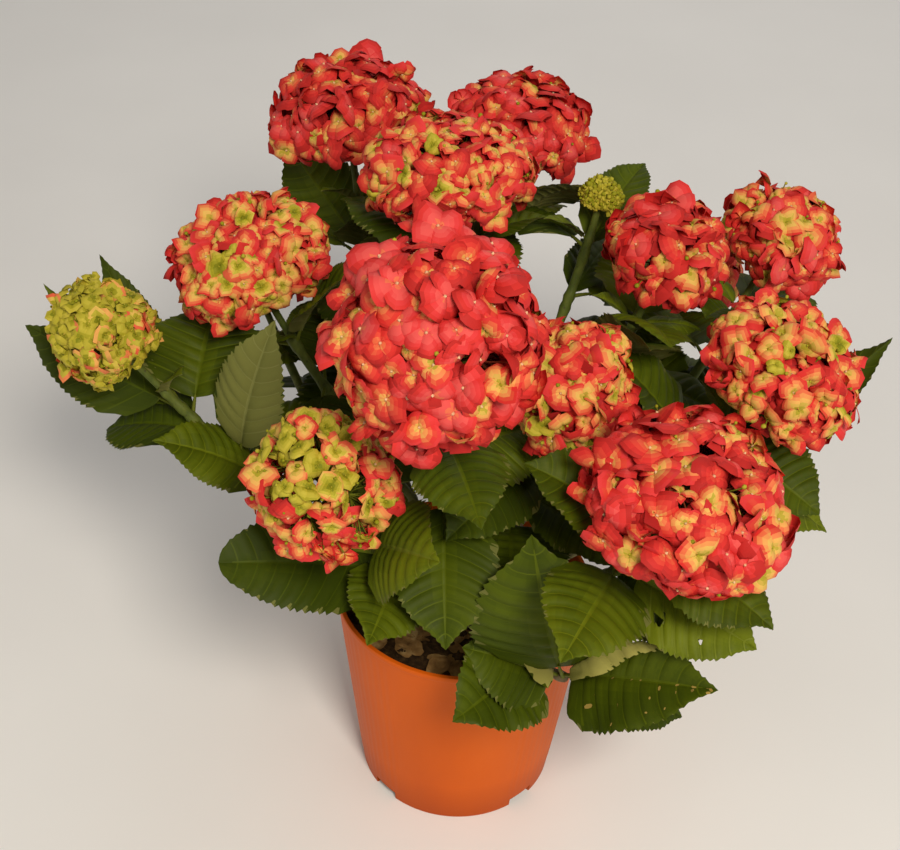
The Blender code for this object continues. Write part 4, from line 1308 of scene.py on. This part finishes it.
    def add_to(self, pile):
        """Put the leaf on a pile."""
        upper, lower, s = self.surfaces()
        up_tones, low_tones = self.tones(s)
        rows, columns = s.shape
        faces = grid_faces(rows, columns)
        kept = np.ones(len(faces), bool)
        if self.look == "spotted":
            self.add_spots(pile, upper)
        upper, lower = upper.reshape(-1, 3), lower.reshape(-1, 3)
        if self.look == "holed":
            kept = self.bitten(upper, lower, faces, s)
        pile.add(upper, faces[kept][:, ::-1], up_tones.ravel()[kept])
        pile.add(lower, faces[kept], low_tones.ravel()[kept])
        stalk, _ = self.midrib(np.linspace(0, PETIOLE_SHARE + PETIOLE_OVERLAP, len(PETIOLE_TAPER)))
        thick = PETIOLE_HALF * min(1.0, self.length / FULL_LEAF_LENGTH)
        radii = [thick * k for k in PETIOLE_TAPER]
        tube(pile, stalk, radii, PETIOLE_SIDES, tone("petiole"))


# ------------------------------------------------- flower heads

def rim_of_sepal(places):
    """Rim of a flat sepal, from one side of its foot round the tip to the other.

    The result is the place along the sepal, the place across it, and how near
    its pointed tip is.
    """
    around = SEPAL_OPEN * np.linspace(-1, 1, places)
    along = 0.5 + 0.5 * np.cos(np.pi * around)
    aside = np.sign(around) * np.abs(np.sin(np.pi * around)) ** SEPAL_ROUNDNESS
    return along, aside, np.maximum(0, 1 - np.abs(around) / SEPAL_POINT_WIDTH)


def florets(draw, count, radius, closed, grid):
    """Grids of points of four sepals for each floret, facing +Z at the origin.

    radius and closed hold a value for each floret. The result has the axes
    floret, sepal, ring, place along the ring, and xyz.
    """
    rings, places = grid
    ring = np.array(rings)[None, None, :, None]
    along, aside, tip = (row[None, None, None, :] for row in rim_of_sepal(places))
    shape = (count, 4, 1, 1)
    size = radius[:, None, None, None] * draw.uniform(*SEPAL_SIZES, shape)
    closed = closed[:, None, None, None]
    wild = 1 + CRUMPLING * closed
    wave = draw.normal(0, SEPAL_RAGGED, (count, 4, 1, places)) * wild
    wave = wave * (1 - np.abs(aside) ** 8)
    u = ring * along * (1 + wave + SEPAL_POINT * (1 + 2 * closed) * tip)
    side = ring * aside * (1 + wave) * size * SEPAL_WIDTH * draw.uniform(*SEPAL_WIDTHS, shape)

    def varied(opened, added, spread):
        return opened + added * closed + draw.normal(0, spread, shape) * wild

    first = varied(*HEART_PITCH)
    last = np.minimum(first - LEAST_BEND, varied(*TIP_PITCH))
    pitch = first + (last - first) * u
    out = size * (HEART_RADIUS + (np.sin(pitch) - np.sin(first)) / (last - first))
    high = size * (np.cos(first) - np.cos(pitch)) / (last - first)
    high = high - varied(*SIDE_DROP) * side ** 2 / size
    ripple = draw.normal(0, SEPAL_RIPPLE, (count, 4, 1, places)) * wild
    high = high + size * ripple * ring ** 3
    high = high + size * np.array(SEPAL_LAYERS)[None, :, None, None]
    turn = (np.arange(4) * np.pi / 2)[None, :, None, None]
    turn = turn + draw.uniform(0, 2 * np.pi, (count, 1, 1, 1)) + draw.normal(0, SEPAL_SWING, shape)
    x = out * np.cos(turn) - side * np.sin(turn)
    y = out * np.sin(turn) + side * np.cos(turn)
    return np.stack((x, y, high + 0 * x), axis=-1)


def sepal_tones(draw, kinds, grid):
    """Tone of every face of the sepals, from heart to rim, in faint streaks."""
    rings, places = np.array(grid[0]), grid[1]
    reach = ((rings[1:] + rings[:-1]) / 2)[None, None, :, None]
    count = len(kinds)
    shift = draw.normal(0, FLORET_TINTS, (count, 1, 1, 1))
    shift = shift + draw.normal(0, SEPAL_TINTS, (count, 4, 1, 1))
    spread = STREAKS * (places / LARGE_GRID[1]) ** 2
    streaks = draw.normal(0, spread, (count, 4, 1, places - 1))
    step = np.clip((reach + shift + streaks) * SEPAL_STEPS, 0, SEPAL_STEPS - 1)
    first = np.array([tone(f"sepal_{kind}_0") for kind in ALL_KINDS])
    return first[np.array(kinds)][:, None, None, None] + step.astype(int)


def bead(rows):
    """Points of a coarse ball of radius 1."""
    polar = np.linspace(0.02, math.pi - 0.02, rows)[:, None]
    around = (np.arange(BEAD_SIDES) * 2 * math.pi / BEAD_SIDES)[None, :]
    x = np.sin(polar) * np.cos(around)
    y = np.sin(polar) * np.sin(around)
    return np.stack((x, y, np.cos(polar) + 0 * x), axis=-1).reshape(-1, 3)


def golden(index, count, polar_end):
    """Direction number index of a count spread evenly over a cap."""
    height = 1 - (1 - math.cos(polar_end)) * (index + 0.5) / count
    around = index * math.pi * (3 - math.sqrt(5))
    flat = math.sqrt(max(0.0, 1 - height * height))
    return Vector((flat * math.cos(around), flat * math.sin(around), height))


def evened(directions, polar_end):
    """Directions moved apart until they stand evenly over the cap."""
    d = np.array(directions)
    reach = EVENING_REACH / math.sqrt(len(d))
    for _ in range(EVENING_STEPS):
        away = d[:, None, :] - d[None, :, :]
        distance = np.linalg.norm(away, axis=-1) + 1e-6
        push = np.maximum(0, 1 - distance / reach) / distance
        d = d + EVENING_PUSH * reach * (away * push[..., None]).sum(axis=1)
        d = d / np.linalg.norm(d, axis=1, keepdims=True)
        low = d[:, 2] < math.cos(polar_end)
        flat = np.linalg.norm(d[low, :2], axis=1, keepdims=True)
        d[low, :2] *= math.sin(polar_end) / np.maximum(flat, 1e-6)
        d[low, 2] = math.cos(polar_end)
    return d


def frames_of(normals):
    """Matrices whose third column is each normal."""
    helper = np.where(np.abs(normals[:, 2:3]) < 0.9, [[0, 0, 1.0]], [[1.0, 0, 0]])
    side = np.cross(helper, normals)
    side /= np.linalg.norm(side, axis=1, keepdims=True)
    return np.stack((side, np.cross(normals, side), normals), axis=-1)


class Head:
    """A flower head: florets over an uneven dome, on stalks from a few branches."""

    def __init__(self, shoot):
        self.shoot = shoot
        shares, self.floret_radius, self.buds, self.crowding = HEAD_LOOKS[shoot.name]
        self.shares = np.array(shares) / sum(shares)
        rng = random.Random(shoot.name + " head")
        self.draw = np.random.default_rng(rng.getrandbits(32))
        self.turn = np.array(head_turn(shoot))
        self.goal = np.array(shoot.goal)
        self.offset = Vector((rng.uniform(0, 50), rng.uniform(0, 50), rng.uniform(0, 50)))
        self.pile = Pile()
        self.hubs = []

    def size(self):
        """Half the head's diameter and of its height."""
        return self.shoot.radius, (self.shoot.rise + self.shoot.drop) / 2

    def surface(self, count, polar_end, level):
        """Places over the dome and the outward directions there, in its frame."""
        places, normals = [], []
        wide, high = self.size()
        spots = [golden(index, count, polar_end) for index in range(count)]
        spots = [(d + Vector(self.draw.normal(0, FLORET_JITTER, 3))).normalized() for d in spots]
        for d in evened(spots, polar_end):
            d = Vector(d)
            lump = noise.noise(d * LUMP_SCALE + self.offset)
            sunk = abs(self.draw.normal(0, SINKING))
            share = level * (1 + LUMPS * min(lump, LUMP_TOP) - sunk)
            places.append(dome_point(self.shoot, d, share))
            out = Vector((d.x / wide, d.y / wide, d.z / high)).normalized()
            tilt = Vector(self.draw.normal(0, FLORET_TILT, 3))
            normals.append((out + tilt + Vector((0, 0, FLORET_LIFT))).normalized())
        return np.array(places), np.array(normals)

    def kinds(self, places):
        """Kind of floret at each place; the middle is less ripe on some heads."""
        ripe = self.draw.random(len(places))
        if self.shoot.name in RIPE_RIMS:
            wide, _ = self.size()
            out = np.linalg.norm(places[:, :2], axis=1) / wide
            order = np.argsort(np.argsort(out + self.draw.normal(0, RIPE_MIXING, len(out))))
            ripe = (order + 0.5) / len(out)
        return np.searchsorted(np.cumsum(self.shares), ripe).clip(0, len(KINDS) - 1)

    def place(self, points, places, frames):
        """Carry points of single flowers (n, ..., 3) to their places on the plant."""
        flat = points.reshape(len(points), -1, 3)
        local = np.einsum("nij,nkj->nki", frames, flat) + places[:, None, :]
        return local @ self.turn.T + self.goal

    def add_florets(self, count, level, radius_share=1.0, kind=None, grid=None):
        """One layer of florets, of mixed kinds or all of one kind."""
        draw = self.draw
        if grid is None:
            grid = MIDDLE_GRID if self.floret_radius < LARGE_FLORET else LARGE_GRID
            grid = SMALL_GRID if self.floret_radius < SMALL_FLORET else grid
            grid = TINY_GRID if self.floret_radius < TINY_FLORET else grid
        places, normals = self.surface(count, FLORET_POLAR, level)
        kinds = self.kinds(places)
        if kind is not None:
            kinds = np.full(count, kind)
        closed = np.array([CLOSED[ALL_KINDS[k]] for k in kinds])
        small = np.array([KIND_SIZES[ALL_KINDS[k]] for k in kinds])
        small = small / KIND_SIZES[KINDS[int(np.argmax(self.shares))]]
        radius = self.floret_radius * radius_share * small * draw.uniform(*FLORET_SIZES, count)
        places = places - normals * (FLORET_DEPTH * radius)[:, None]
        frames = frames_of(normals)
        closed = np.clip(closed + draw.normal(0, CLOSED_SPREAD, count), 0, CLOSED_MOST)
        grids = florets(draw, count, radius, closed, grid)
        tones = sepal_tones(draw, kinds, grid)
        placed = self.place(grids, places, frames)
        rows, columns = len(grid[0]), grid[1]
        faces = grid_faces(rows, columns)
        each = rows * columns
        all_faces = (faces[None] + (np.arange(count * 4) * each)[:, None, None]).reshape(-1, 4)
        self.pile.add(placed.reshape(-1, 3), all_faces, tones.reshape(-1))
        if level < self.level:
            return places, normals
        eyes = bead(EYE_ROWS)[None] * (EYE_SIZE * radius)[:, None, None] + (0, 0, EYE_RISE)
        eye_faces = grid_faces(EYE_ROWS, BEAD_SIDES, True)
        placed = self.place(eyes, places, frames)
        for index in range(count):
            eye = "bud_light" if kinds[index] < RIPENING else "eye"
            self.pile.add(placed[index], eye_faces, tone(eye))
        return places, normals

    def world(self, point):
        """A point of the head's own frame, on the plant."""
        return Vector(self.turn @ np.array(point) + self.goal)

    def add_stalks(self, places, normals, ripe):
        """Flower stalks from each place down to the nearest branching point."""
        for place, normal in zip(places, normals):
            hub = min(self.hubs, key=lambda h: (h - Vector(place)).length)
            start = Vector(place) - Vector(normal) * PEDICEL_START
            bend = start.lerp(hub, 0.5) - Vector(normal) * PEDICEL_SAG * (start - hub).length
            points = [self.world(p) for p in (start, bend, hub)]
            colour = "pedicel_red" if ripe else "pedicel_green"
            radii = [PEDICEL_RADIUS * k for k in PEDICEL_TAPER]
            tube(self.pile, points, radii, PEDICEL_SIDES, tone(colour))

    def add_branches(self):
        """Branches from the end of the stem to the branching points."""
        foot = Vector((0, 0, -PEDUNCLE_END * self.shoot.drop))
        scale = min(1.0, self.shoot.radius / FULL_HEAD_RADIUS)
        for index in range(HUB_COUNT):
            hub = dome_point(self.shoot, golden(index, HUB_COUNT, HUB_POLAR), HUB_LEVEL)
            self.hubs.append(hub)
            low = foot.lerp(hub, 0.5) - Vector((0, 0, BRANCH_SAG * hub.length))
            points = [self.world(p) for p in (foot, low, hub)]
            radii = [BRANCH_RADIUS * scale * k for k in BRANCH_TAPER]
            tube(self.pile, points, radii, BRANCH_SIDES, tone("pedicel_green"))

    def add_buds(self, count, radius):
        """Small closed buds between the florets."""
        places, normals = self.surface(count, BUD_POLAR, BUD_LEVEL)
        sizes = radius * self.draw.uniform(*BUD_SIZES, count)
        points = bead(BEAD_ROWS)[None] * sizes[:, None, None]
        placed = self.place(points, places, frames_of(normals))
        faces = grid_faces(BEAD_ROWS, BEAD_SIDES, True)
        for index in range(count):
            colour = "bud" if self.draw.random() < GREEN_BUD_SHARE else "bud_light"
            self.pile.add(placed[index], faces, tone(colour))
        return places, normals

    def grow(self):
        """The whole head as one piece."""
        wide, high = self.size()
        mean = (wide * wide * high) ** (1 / 3)
        area = 4 * math.pi * mean ** 2 * (1 - math.cos(FLORET_POLAR)) / 2
        count = max(8, round(self.crowding * area / (FLORET_AREA * self.floret_radius ** 2)))
        self.level = 1.0 - OVERHANG * self.floret_radius / mean
        self.add_branches()
        ripe = self.shares[RIPE:].sum() > 0.5
        places, normals = self.add_florets(count, self.level)
        self.add_stalks(places, normals, ripe)
        # A lower, hidden layer fills the gaps. On most heads its florets are coloured in painted
        # shade.
        inner = round(INNER_SHARE * self.crowding ** 3 * count)
        if self.shoot.name in RIPE_RIMS or self.shares[0] > 0.5:
            self.add_florets(inner, INNER_LEVEL, INNER_UNRIPE_SIZE, None, TINY_GRID)
        else:
            self.add_florets(inner, INNER_LEVEL, 1.0, HIDDEN_PAINTED_SHADE_KIND, TINY_GRID)
        if self.buds:
            radius = BUD_RADIUS * BUD_SCALES.get(self.shoot.name, 1.0)
            places, normals = self.add_buds(self.buds, radius)
            self.add_stalks(places, normals, False)
        name = self.shoot.name
        slot = HEAD_SLOTS.get(name, "sepals_red")
        return self.pile.make("flowers_" + name, slot, "bloom_" + name)


# ------------------------------------------------- wood, soil and pot

def shifted(faces, start):
    """The faces of a shape whose points come after others."""
    return [tuple(int(i) + start for i in face) for face in faces]


def make_mesh(name, points, faces, material, slot, *nodes):
    """Smooth object with one material, standing for the nodes."""
    mesh = bpy.data.meshes.new(name)
    mesh.from_pydata([tuple(p) for p in points], [], faces)
    mesh.materials.append(material)
    return piece_of(mesh, nodes)


def stem_thickness(shoot, distance, joints):
    """Radius of a stem: wide at its foot, swollen at leaf joints, thin on top."""
    radius = shoot.stem_radius(distance)
    if shoot.radius:
        low, high = (shoot.leafy_end + place for place in PEDUNCLE_STRETCH)
        slim = float(eased(low, high, distance))
        radius += (PEDUNCLE_RADIUS - radius) * slim
    swelling = sum(math.exp(-((distance - joint) / JOINT_LENGTH) ** 2) for joint in joints)
    foot = math.exp(-max(distance, 0.0) / STEM_FOOT)
    return radius * (1 + JOINT_SWELLING * min(swelling, 1.0) + STEM_FOOT_SWELLING * foot)


def stem_rings(shoot, joints):
    """Rings of a stem from inside the crown up to its end."""
    end = shoot.length - (PEDUNCLE_END * shoot.drop if shoot.radius else 0)
    steps = round(end / STEM_STEP)
    rings = []
    side = None
    for step in range(-2, steps + 1):
        distance = end * step / steps
        centre, along = shoot.at(distance)
        if distance < 0:
            centre = centre + along * distance
        side = carried(side, along)
        other = along.cross(side)
        radius = stem_thickness(shoot, distance, joints)
        low, high = (share * shoot.length for share in WOODY_STRETCH)
        woody = 1 - float(eased(low, high, distance))
        ring = []
        for angle in turns(STEM_LOOK_SIDES):
            out = side * math.cos(angle) + other * math.sin(angle)
            grain = noise.noise(Vector((math.cos(angle) * 2.4, math.sin(angle) * 2.4,
                                        distance * 60 + shoot.turn * 7)))
            ring.append(centre + out * (radius * (1 + (STEM_GRAIN + WOODY_GRAIN * woody) * grain)))
        rings.append(ring)
    return rings


def make_stems(shoots, foliage):
    """Every stem, from the crown to its flower head, as one piece."""
    points, faces = [], []
    for shoot in shoots.values():
        old_joints = range(int(shoot.bare_end / JOINT_SPACING))
        joints = [JOINT_START + JOINT_SPACING * k for k in old_joints]
        for root, *_ in foliage.leaves[shoot.name]:
            place = min(range(len(shoot.points)), key=lambda i: (shoot.points[i] - root).length)
            joints.append(shoot.lengths[place])
        verts, quads = lofted(stem_rings(shoot, joints))
        faces += shifted(quads, len(points))
        points += verts
    nodes = ["stem_" + name for name in shoots]
    return make_mesh("stems", points, faces, stem_material(), "stem_green", *nodes)


def make_crown():
    """Woody crown with furrowed bark, flared at its foot."""
    centre = SOIL_Z + CROWN_DOME_RISE
    profile = [(CROWN_OUTLINE[0][1], SOIL_Z - CROWN_DEPTH)]
    for height in CROWN_RINGS:
        wide = float(np.interp(height, *zip(*CROWN_OUTLINE)))
        profile.append((wide, SOIL_Z + CROWN_DOME_RISE * height))
    for step in range(DOME_RINGS):
        polar = math.radians(DOME_START - DOME_STEP * step)
        profile.append((CROWN_DOME_RADIUS * math.sin(polar),
                        centre + CROWN_DOME_RADIUS * math.cos(polar)))

    def rough(radius, height, angle):
        fade = max(0.0, 1 - (height - SOIL_Z) / (CROWN_FLARE_END * CROWN_DOME_RISE))
        radius = radius * (1 + CROWN_FLARE * fade * math.cos(CROWN_FLARE_LOBES * angle))
        spot = Vector((math.cos(angle), math.sin(angle), 0))
        bark = 1
        for across, up, depth in CROWN_FURROWS:
            bark += depth * noise.noise(spot * across + Vector((0, 0, height * up)))
        return radius * bark, height

    verts, faces = lofted([upright_ring(turns(CROWN_SIDES), partial(rough, *place))
                           for place in profile])
    return make_mesh("woody_crown", verts, faces, bark_material(), "wood", "crown")


def wall_radius(height):
    """Outer radius of the pot's wall."""
    share = height / (POT_HEIGHT - LIP_HEIGHT)
    return POT_BASE_RADIUS + (POT_RIM_RADIUS - LIP_STEP - POT_BASE_RADIUS) * share


def soil_height(x, y):
    """Height of the loose soil, heaped a little against the crown."""
    reach = math.hypot(x, y)
    rough = sum(noise.noise(Vector((x, y, place)) * close) * height
                for close, place, height in SOIL_WAVES)
    heap = SOIL_HEAP * math.exp(-(reach / SOIL_HEAP_REACH) ** 2)
    return SOIL_Z + rough + heap - SOIL_SETTLING


def make_soil():
    """Loose soil with clods, closed below."""
    inner = wall_radius(SOIL_Z) - POT_WALL - GAP

    def loose(radius, angle):
        x, y = radius * math.cos(angle), radius * math.sin(angle)
        return radius, soil_height(x, y)

    sides = ((SOIL_FOOT, POT_FLOOR + GAP), (wall_radius(POT_FLOOR) - POT_WALL - GAP, POT_FLOOR + GAP),
             (inner, SOIL_Z - SOIL_EDGE_DROP))
    rings = [upright_ring(turns(SOIL_SIDES), lambda angle, place=place: place)
             for place in sides]
    for step in range(SOIL_STEPS):
        radius = inner * (1 - SOIL_MARGIN - SOIL_SPAN * step / SOIL_STEPS)
        rings.append(upright_ring(turns(SOIL_SIDES), partial(loose, radius)))
    points, faces = lofted(rings)
    rng = random.Random("clods")
    ball = bmesh.new()
    bmesh.ops.create_icosphere(ball, subdivisions=2, radius=1.0)
    base = [v.co.copy() for v in ball.verts]
    base_faces = [tuple(v.index for v in f.verts) for f in ball.faces]
    ball.free()
    for _ in range(CLOD_COUNT):
        reach = inner * math.sqrt(rng.uniform(*CLOD_PLACES))
        angle = rng.uniform(0, 2 * math.pi)
        size = rng.choice((1, 1, 1, 2)) * rng.uniform(*CLOD_SIZES)
        x, y = reach * math.cos(angle), reach * math.sin(angle)
        place = Vector((x, y, soil_height(x, y) + CLOD_RISE * size))
        seed = Vector((rng.uniform(0, 99),) * 3)
        start = len(points)
        for co in base:
            swell = 1 + CLOD_LUMPS * noise.noise(co * 1.6 + seed)
            flat = Vector((co.x, co.y, co.z * CLOD_FLATNESS))
            points.append(place + flat * (size * swell))
        faces += shifted(base_faces, start)
    return make_mesh("soil_bed", points, faces, soil_material(), "soil", "soil")


def make_scraps():
    """Dry leaf scraps and twigs that lie on the soil."""
    rng = random.Random("scraps")
    points, faces = [], []
    inner = wall_radius(SOIL_Z) - POT_WALL - SCRAP_MARGIN
    for index in range(SCRAP_COUNT):
        long = rng.uniform(*(SCRAP_LENGTHS if index % 3 else LONG_SCRAP_LENGTHS))
        wide = long * (rng.uniform(*SCRAP_WIDTHS) if index % 4 else TWIG_WIDTH)
        reach = (inner - long / 2) * math.sqrt(rng.uniform(*SCRAP_PLACES))
        angle = rng.uniform(0, 2 * math.pi)
        if index % 2:
            angle = rng.uniform(*SCRAP_CORNER)
        x, y = reach * math.cos(angle), reach * math.sin(angle)
        turn = rng.uniform(0, 2 * math.pi)
        curl = rng.uniform(*SCRAP_CURLS)
        tilt = rng.uniform(*SCRAP_TILTS)
        start = len(points)
        rows, columns = SCRAP_GRID
        for i in range(rows):
            s = i / (rows - 1)
            half = wide / 2 * math.sin(math.pi * (0.04 + 0.92 * s)) ** 0.6
            for j in range(columns):
                v = 2 * j / (columns - 1) - 1
                ragged = 1 + SCRAP_RAGGED * noise.noise(Vector((s * 5, v * 3, index)))
                along, side = long * (s - 0.5), half * v * ragged
                px = x + along * math.cos(turn) - side * math.sin(turn)
                py = y + along * math.sin(turn) + side * math.cos(turn)
                lift = curl * side * side / max(wide, 0.004) + tilt * abs(along) * s
                lift += SCRAP_BUMPS * noise.noise(Vector((s * 4, v * 2, index + 9)))
                points.append(Vector((px, py, soil_height(px, py) + SCRAP_RISE + lift)))
        faces += shifted(grid_faces(rows, columns), start)
    return make_mesh("dry_scraps", points, faces, scrap_material(), "wood")


def rib_height(angle):
    """Height of the ribs on the two sides of the pot; front and back are plain."""
    part = abs(math.cos(angle))
    fade = float(eased(RIB_START, RIB_START + RIB_FADE, part))
    wave = 0.5 - 0.5 * math.cos(2 * math.pi * math.degrees(angle) / RIB_PITCH)
    return RIB_DEPTH * fade * wave ** 1.5


def make_pot():
    """Thin pot with ribbed sides, a flared lip and slots in its foot."""
    half = NOTCH_WIDTH / 2 / POT_BASE_RADIUS
    angles = turns(POT_SIDES)
    notches = [2 * math.pi * (index + 0.5) / NOTCH_COUNT for index in range(NOTCH_COUNT)]
    for middle in notches:
        for edge in (-half, half):
            angles += [middle + edge - NOTCH_EDGE, middle + edge + NOTCH_EDGE]
    angles.sort()
    lip_z = POT_HEIGHT - LIP_HEIGHT
    heights = [lip_z - drop for drop in BELOW_LIP]
    heights += [POT_WALL_TOP - POT_WALL_STRETCH * k / POT_WALL_STEPS
                for k in range(POT_WALL_STEPS + 1)]
    heights += ABOVE_FOOT
    inner_rim = wall_radius(lip_z) - POT_WALL
    wall = [(inner_rim, POT_HEIGHT - LIP_INNER_EDGE, False),
            (inner_rim + LIP_INNER_EDGE, POT_HEIGHT, False),
            (POT_RIM_RADIUS - LIP_ROUNDING, POT_HEIGHT, False),
            (POT_RIM_RADIUS - LIP_CORNER, POT_HEIGHT - LIP_CORNER, False),
            (POT_RIM_RADIUS, POT_HEIGHT - LIP_ROUNDING, False),
            (POT_RIM_RADIUS, lip_z + LIP_UNDERSIDE, False),
            (POT_RIM_RADIUS - LIP_LOWER_EDGE, lip_z + LIP_LOWER_EDGE, False),
            (wall_radius(lip_z), lip_z, False)]
    wall += [(wall_radius(z), z, True) for z in heights]
    wall += [(POT_BASE_RADIUS - FOOT_ROUNDING, 0.0, False),
             (POT_BASE_RADIUS - POT_WALL, 0.0, False)]
    wall += [(wall_radius(z) - POT_WALL, z, False)
             for z in (POT_FLOOR, NOTCH_HEIGHT, *INNER_HEIGHTS, lip_z)]
    floor_edge = POT_BASE_RADIUS - POT_WALL / 2
    floor = [(FLOOR_RADII[0], 0.0), (FLOOR_RADII[1], 0.0), (floor_edge, 0.0),
             (floor_edge, POT_FLOOR), (FLOOR_RADII[0], POT_FLOOR)]

    def cut(angle):
        return min(abs((angle - middle + math.pi) % (2 * math.pi) - math.pi)
                   for middle in notches) < half

    def on_wall(radius, height, ribbed, angle):
        z = max(height, NOTCH_HEIGHT) if cut(angle) else height
        if z != height:
            radius = radius + wall_radius(z) - wall_radius(height)
        if ribbed:
            fade = float(eased(*RIB_FOOT, z)) * float(eased(lip_z, lip_z - RIB_TOP, z))
            radius += rib_height(angle) * fade
        return radius, z

    def on_floor(radius, height, angle):
        return min(radius, POT_BASE_RADIUS - NOTCH_DEPTH) if cut(angle) else radius, height

    wall_rings = [upright_ring(angles, partial(on_wall, *place)) for place in wall]
    floor_rings = [upright_ring(angles, partial(on_floor, *place)) for place in floor]
    wall_rings.append(wall_rings[0])
    points, faces = lofted(wall_rings, False)
    floor_points, floor_faces = lofted(floor_rings)
    faces += shifted(floor_faces, len(points))
    points += floor_points
    pot = make_mesh("pot_shell", points, faces, pot_material(), "pot_plastic", "pot")
    pot.data.set_sharp_from_angle(angle=POT_CREASE)
    return pot


# ------------------------------------------------- the whole plant

def add_young_leaves(foliage, shoots):
    """Small leaves under the heads and in the leaf joints, where there is room."""
    for shoot in shoots.values():
        if not shoot.radius:
            continue
        rng = random.Random(shoot.name + " young")
        for below, length, lift, count in YOUNG_LEAVES:
            distance = shoot.leafy_end - below
            if distance < shoot.bare_end + STALK_ROOM:
                continue
            for k in range(count):
                angle = shoot.turn + math.pi / 2 + 2 * math.pi * k / count
                angle += rng.uniform(-YOUNG_SWING, YOUNG_SWING)
                size = length * rng.uniform(1 - YOUNG_SPREAD, 1 + YOUNG_SPREAD)
                foliage.add_turned(shoot, distance, angle, lift, size, YOUNG_WIDTH_RATIO,
                                   YOUNG_TRIES)


def make_leaves(shoots, foliage):
    """One piece of leaves for every shoot."""
    main = {name: len(leaves) for name, leaves in foliage.leaves.items()}
    add_young_leaves(foliage, shoots)
    for name in shoots:
        pile = Pile()
        rng = random.Random(name + " blades")
        for index, (root, tip, width, roll) in enumerate(foliage.leaves[name]):
            intervals = VEIN_INTERVALS if index < main[name] else SMALL_INTERVALS
            look = SPECIAL_LEAVES.get((name, index), "")
            Blade(rng, root, tip, width, roll, intervals, look).add_to(pile)
        pile.make("foliage_" + name, "foliage", "leaves_" + name)


def shape_of(obj):
    """Points and faces of an object."""
    mesh = obj.data
    return [v.co.copy() for v in mesh.vertices], [tuple(p.vertices) for p in mesh.polygons]


def make_plant():
    """Pot, soil, crown, stems, leaves and flower heads."""
    shoots = all_shoots()
    fixed = [shape_of(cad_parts[n]) for n in ("pot", "soil", "crown")]
    foliage = Foliage(shoots, fixed + [lofted(SKY_SHAFT)])
    foliage.place()
    make_leaves(shoots, foliage)
    make_stems(shoots, foliage)
    make_pot()
    make_soil()
    make_scraps()
    make_crown()
    for shoot in shoots.values():
        if shoot.radius:
            Head(shoot).grow()


# ------------------------------------------------- floor, light and camera

def make_floor():
    """Wide pale floor that the pot stands on."""
    corners = [(x * FLOOR_HALF, y * FLOOR_HALF, 0)
               for x, y in ((-1, -1), (1, -1), (1, 1), (-1, 1))]
    mesh = bpy.data.meshes.new("floor")
    mesh.from_pydata(corners, [], [(0, 1, 2, 3)])
    made, tree, sockets = new_material("pale_floor")
    tree.links.new(ramp_node(tree, noise_node(tree, 3, 3), FLOOR_RAMP), sockets["Base Color"])
    sockets["Roughness"].default_value = 0.85
    mesh.materials.append(made)
    floor = new_object("floor", mesh)


def area_light(name, place, size, power, colour):
    """Large soft lamp that looks at the plant."""
    data = bpy.data.lights.new(name, "AREA")
    data.shape = "SQUARE"
    data.size = size
    data.energy = power
    data.color = colour
    lamp = new_object(name, data)
    lamp.location = place
    aim = Vector(LAMP_AIM) - Vector(place)
    lamp.rotation_mode = "QUATERNION"
    lamp.rotation_quaternion = aim.to_track_quat("-Z", "Y")


def make_light():
    """Warm key from the upper front, weak lamps all round and a pale surround."""
    for name, lamp in LAMPS.items():
        area_light(name, *lamp)
    world = bpy.data.worlds.new("surround")
    world.use_nodes = True
    background = world.node_tree.nodes["Background"]
    background.inputs["Color"].default_value = (*SURROUND, 1.0)
    background.inputs["Strength"].default_value = SURROUND_POWER
    bpy.context.scene.world = world


def make_camera():
    """Camera at the photo's angle."""
    down, yaw, roll = (math.radians(a) for a in CAMERA_ANGLES)
    level = Vector((math.sin(yaw), math.cos(yaw), 0))
    forward = level * math.cos(down) - UP * math.sin(down)
    right = Vector((math.cos(yaw), -math.sin(yaw), 0))
    up = right.cross(forward)
    turned_right = right * math.cos(roll) + up * math.sin(roll)
    turned_up = up * math.cos(roll) - right * math.sin(roll)
    data = bpy.data.cameras.new("camera")
    data.sensor_width = SENSOR_WIDTH
    data.lens = CAMERA_LENS
    camera = new_object("camera", data)
    turn = Matrix((turned_right, turned_up, -forward)).transposed()
    camera.matrix_world = Matrix.Translation(CAMERA_PLACE) @ turn.to_4x4()
    bpy.context.scene.camera = camera


def main():
    """The plant on its floor, lit and seen as in the photo."""
    make_plant()
    make_floor()
    make_light()
    make_camera()
    bpy.context.scene.view_settings.view_transform = "Standard"
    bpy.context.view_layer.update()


main()
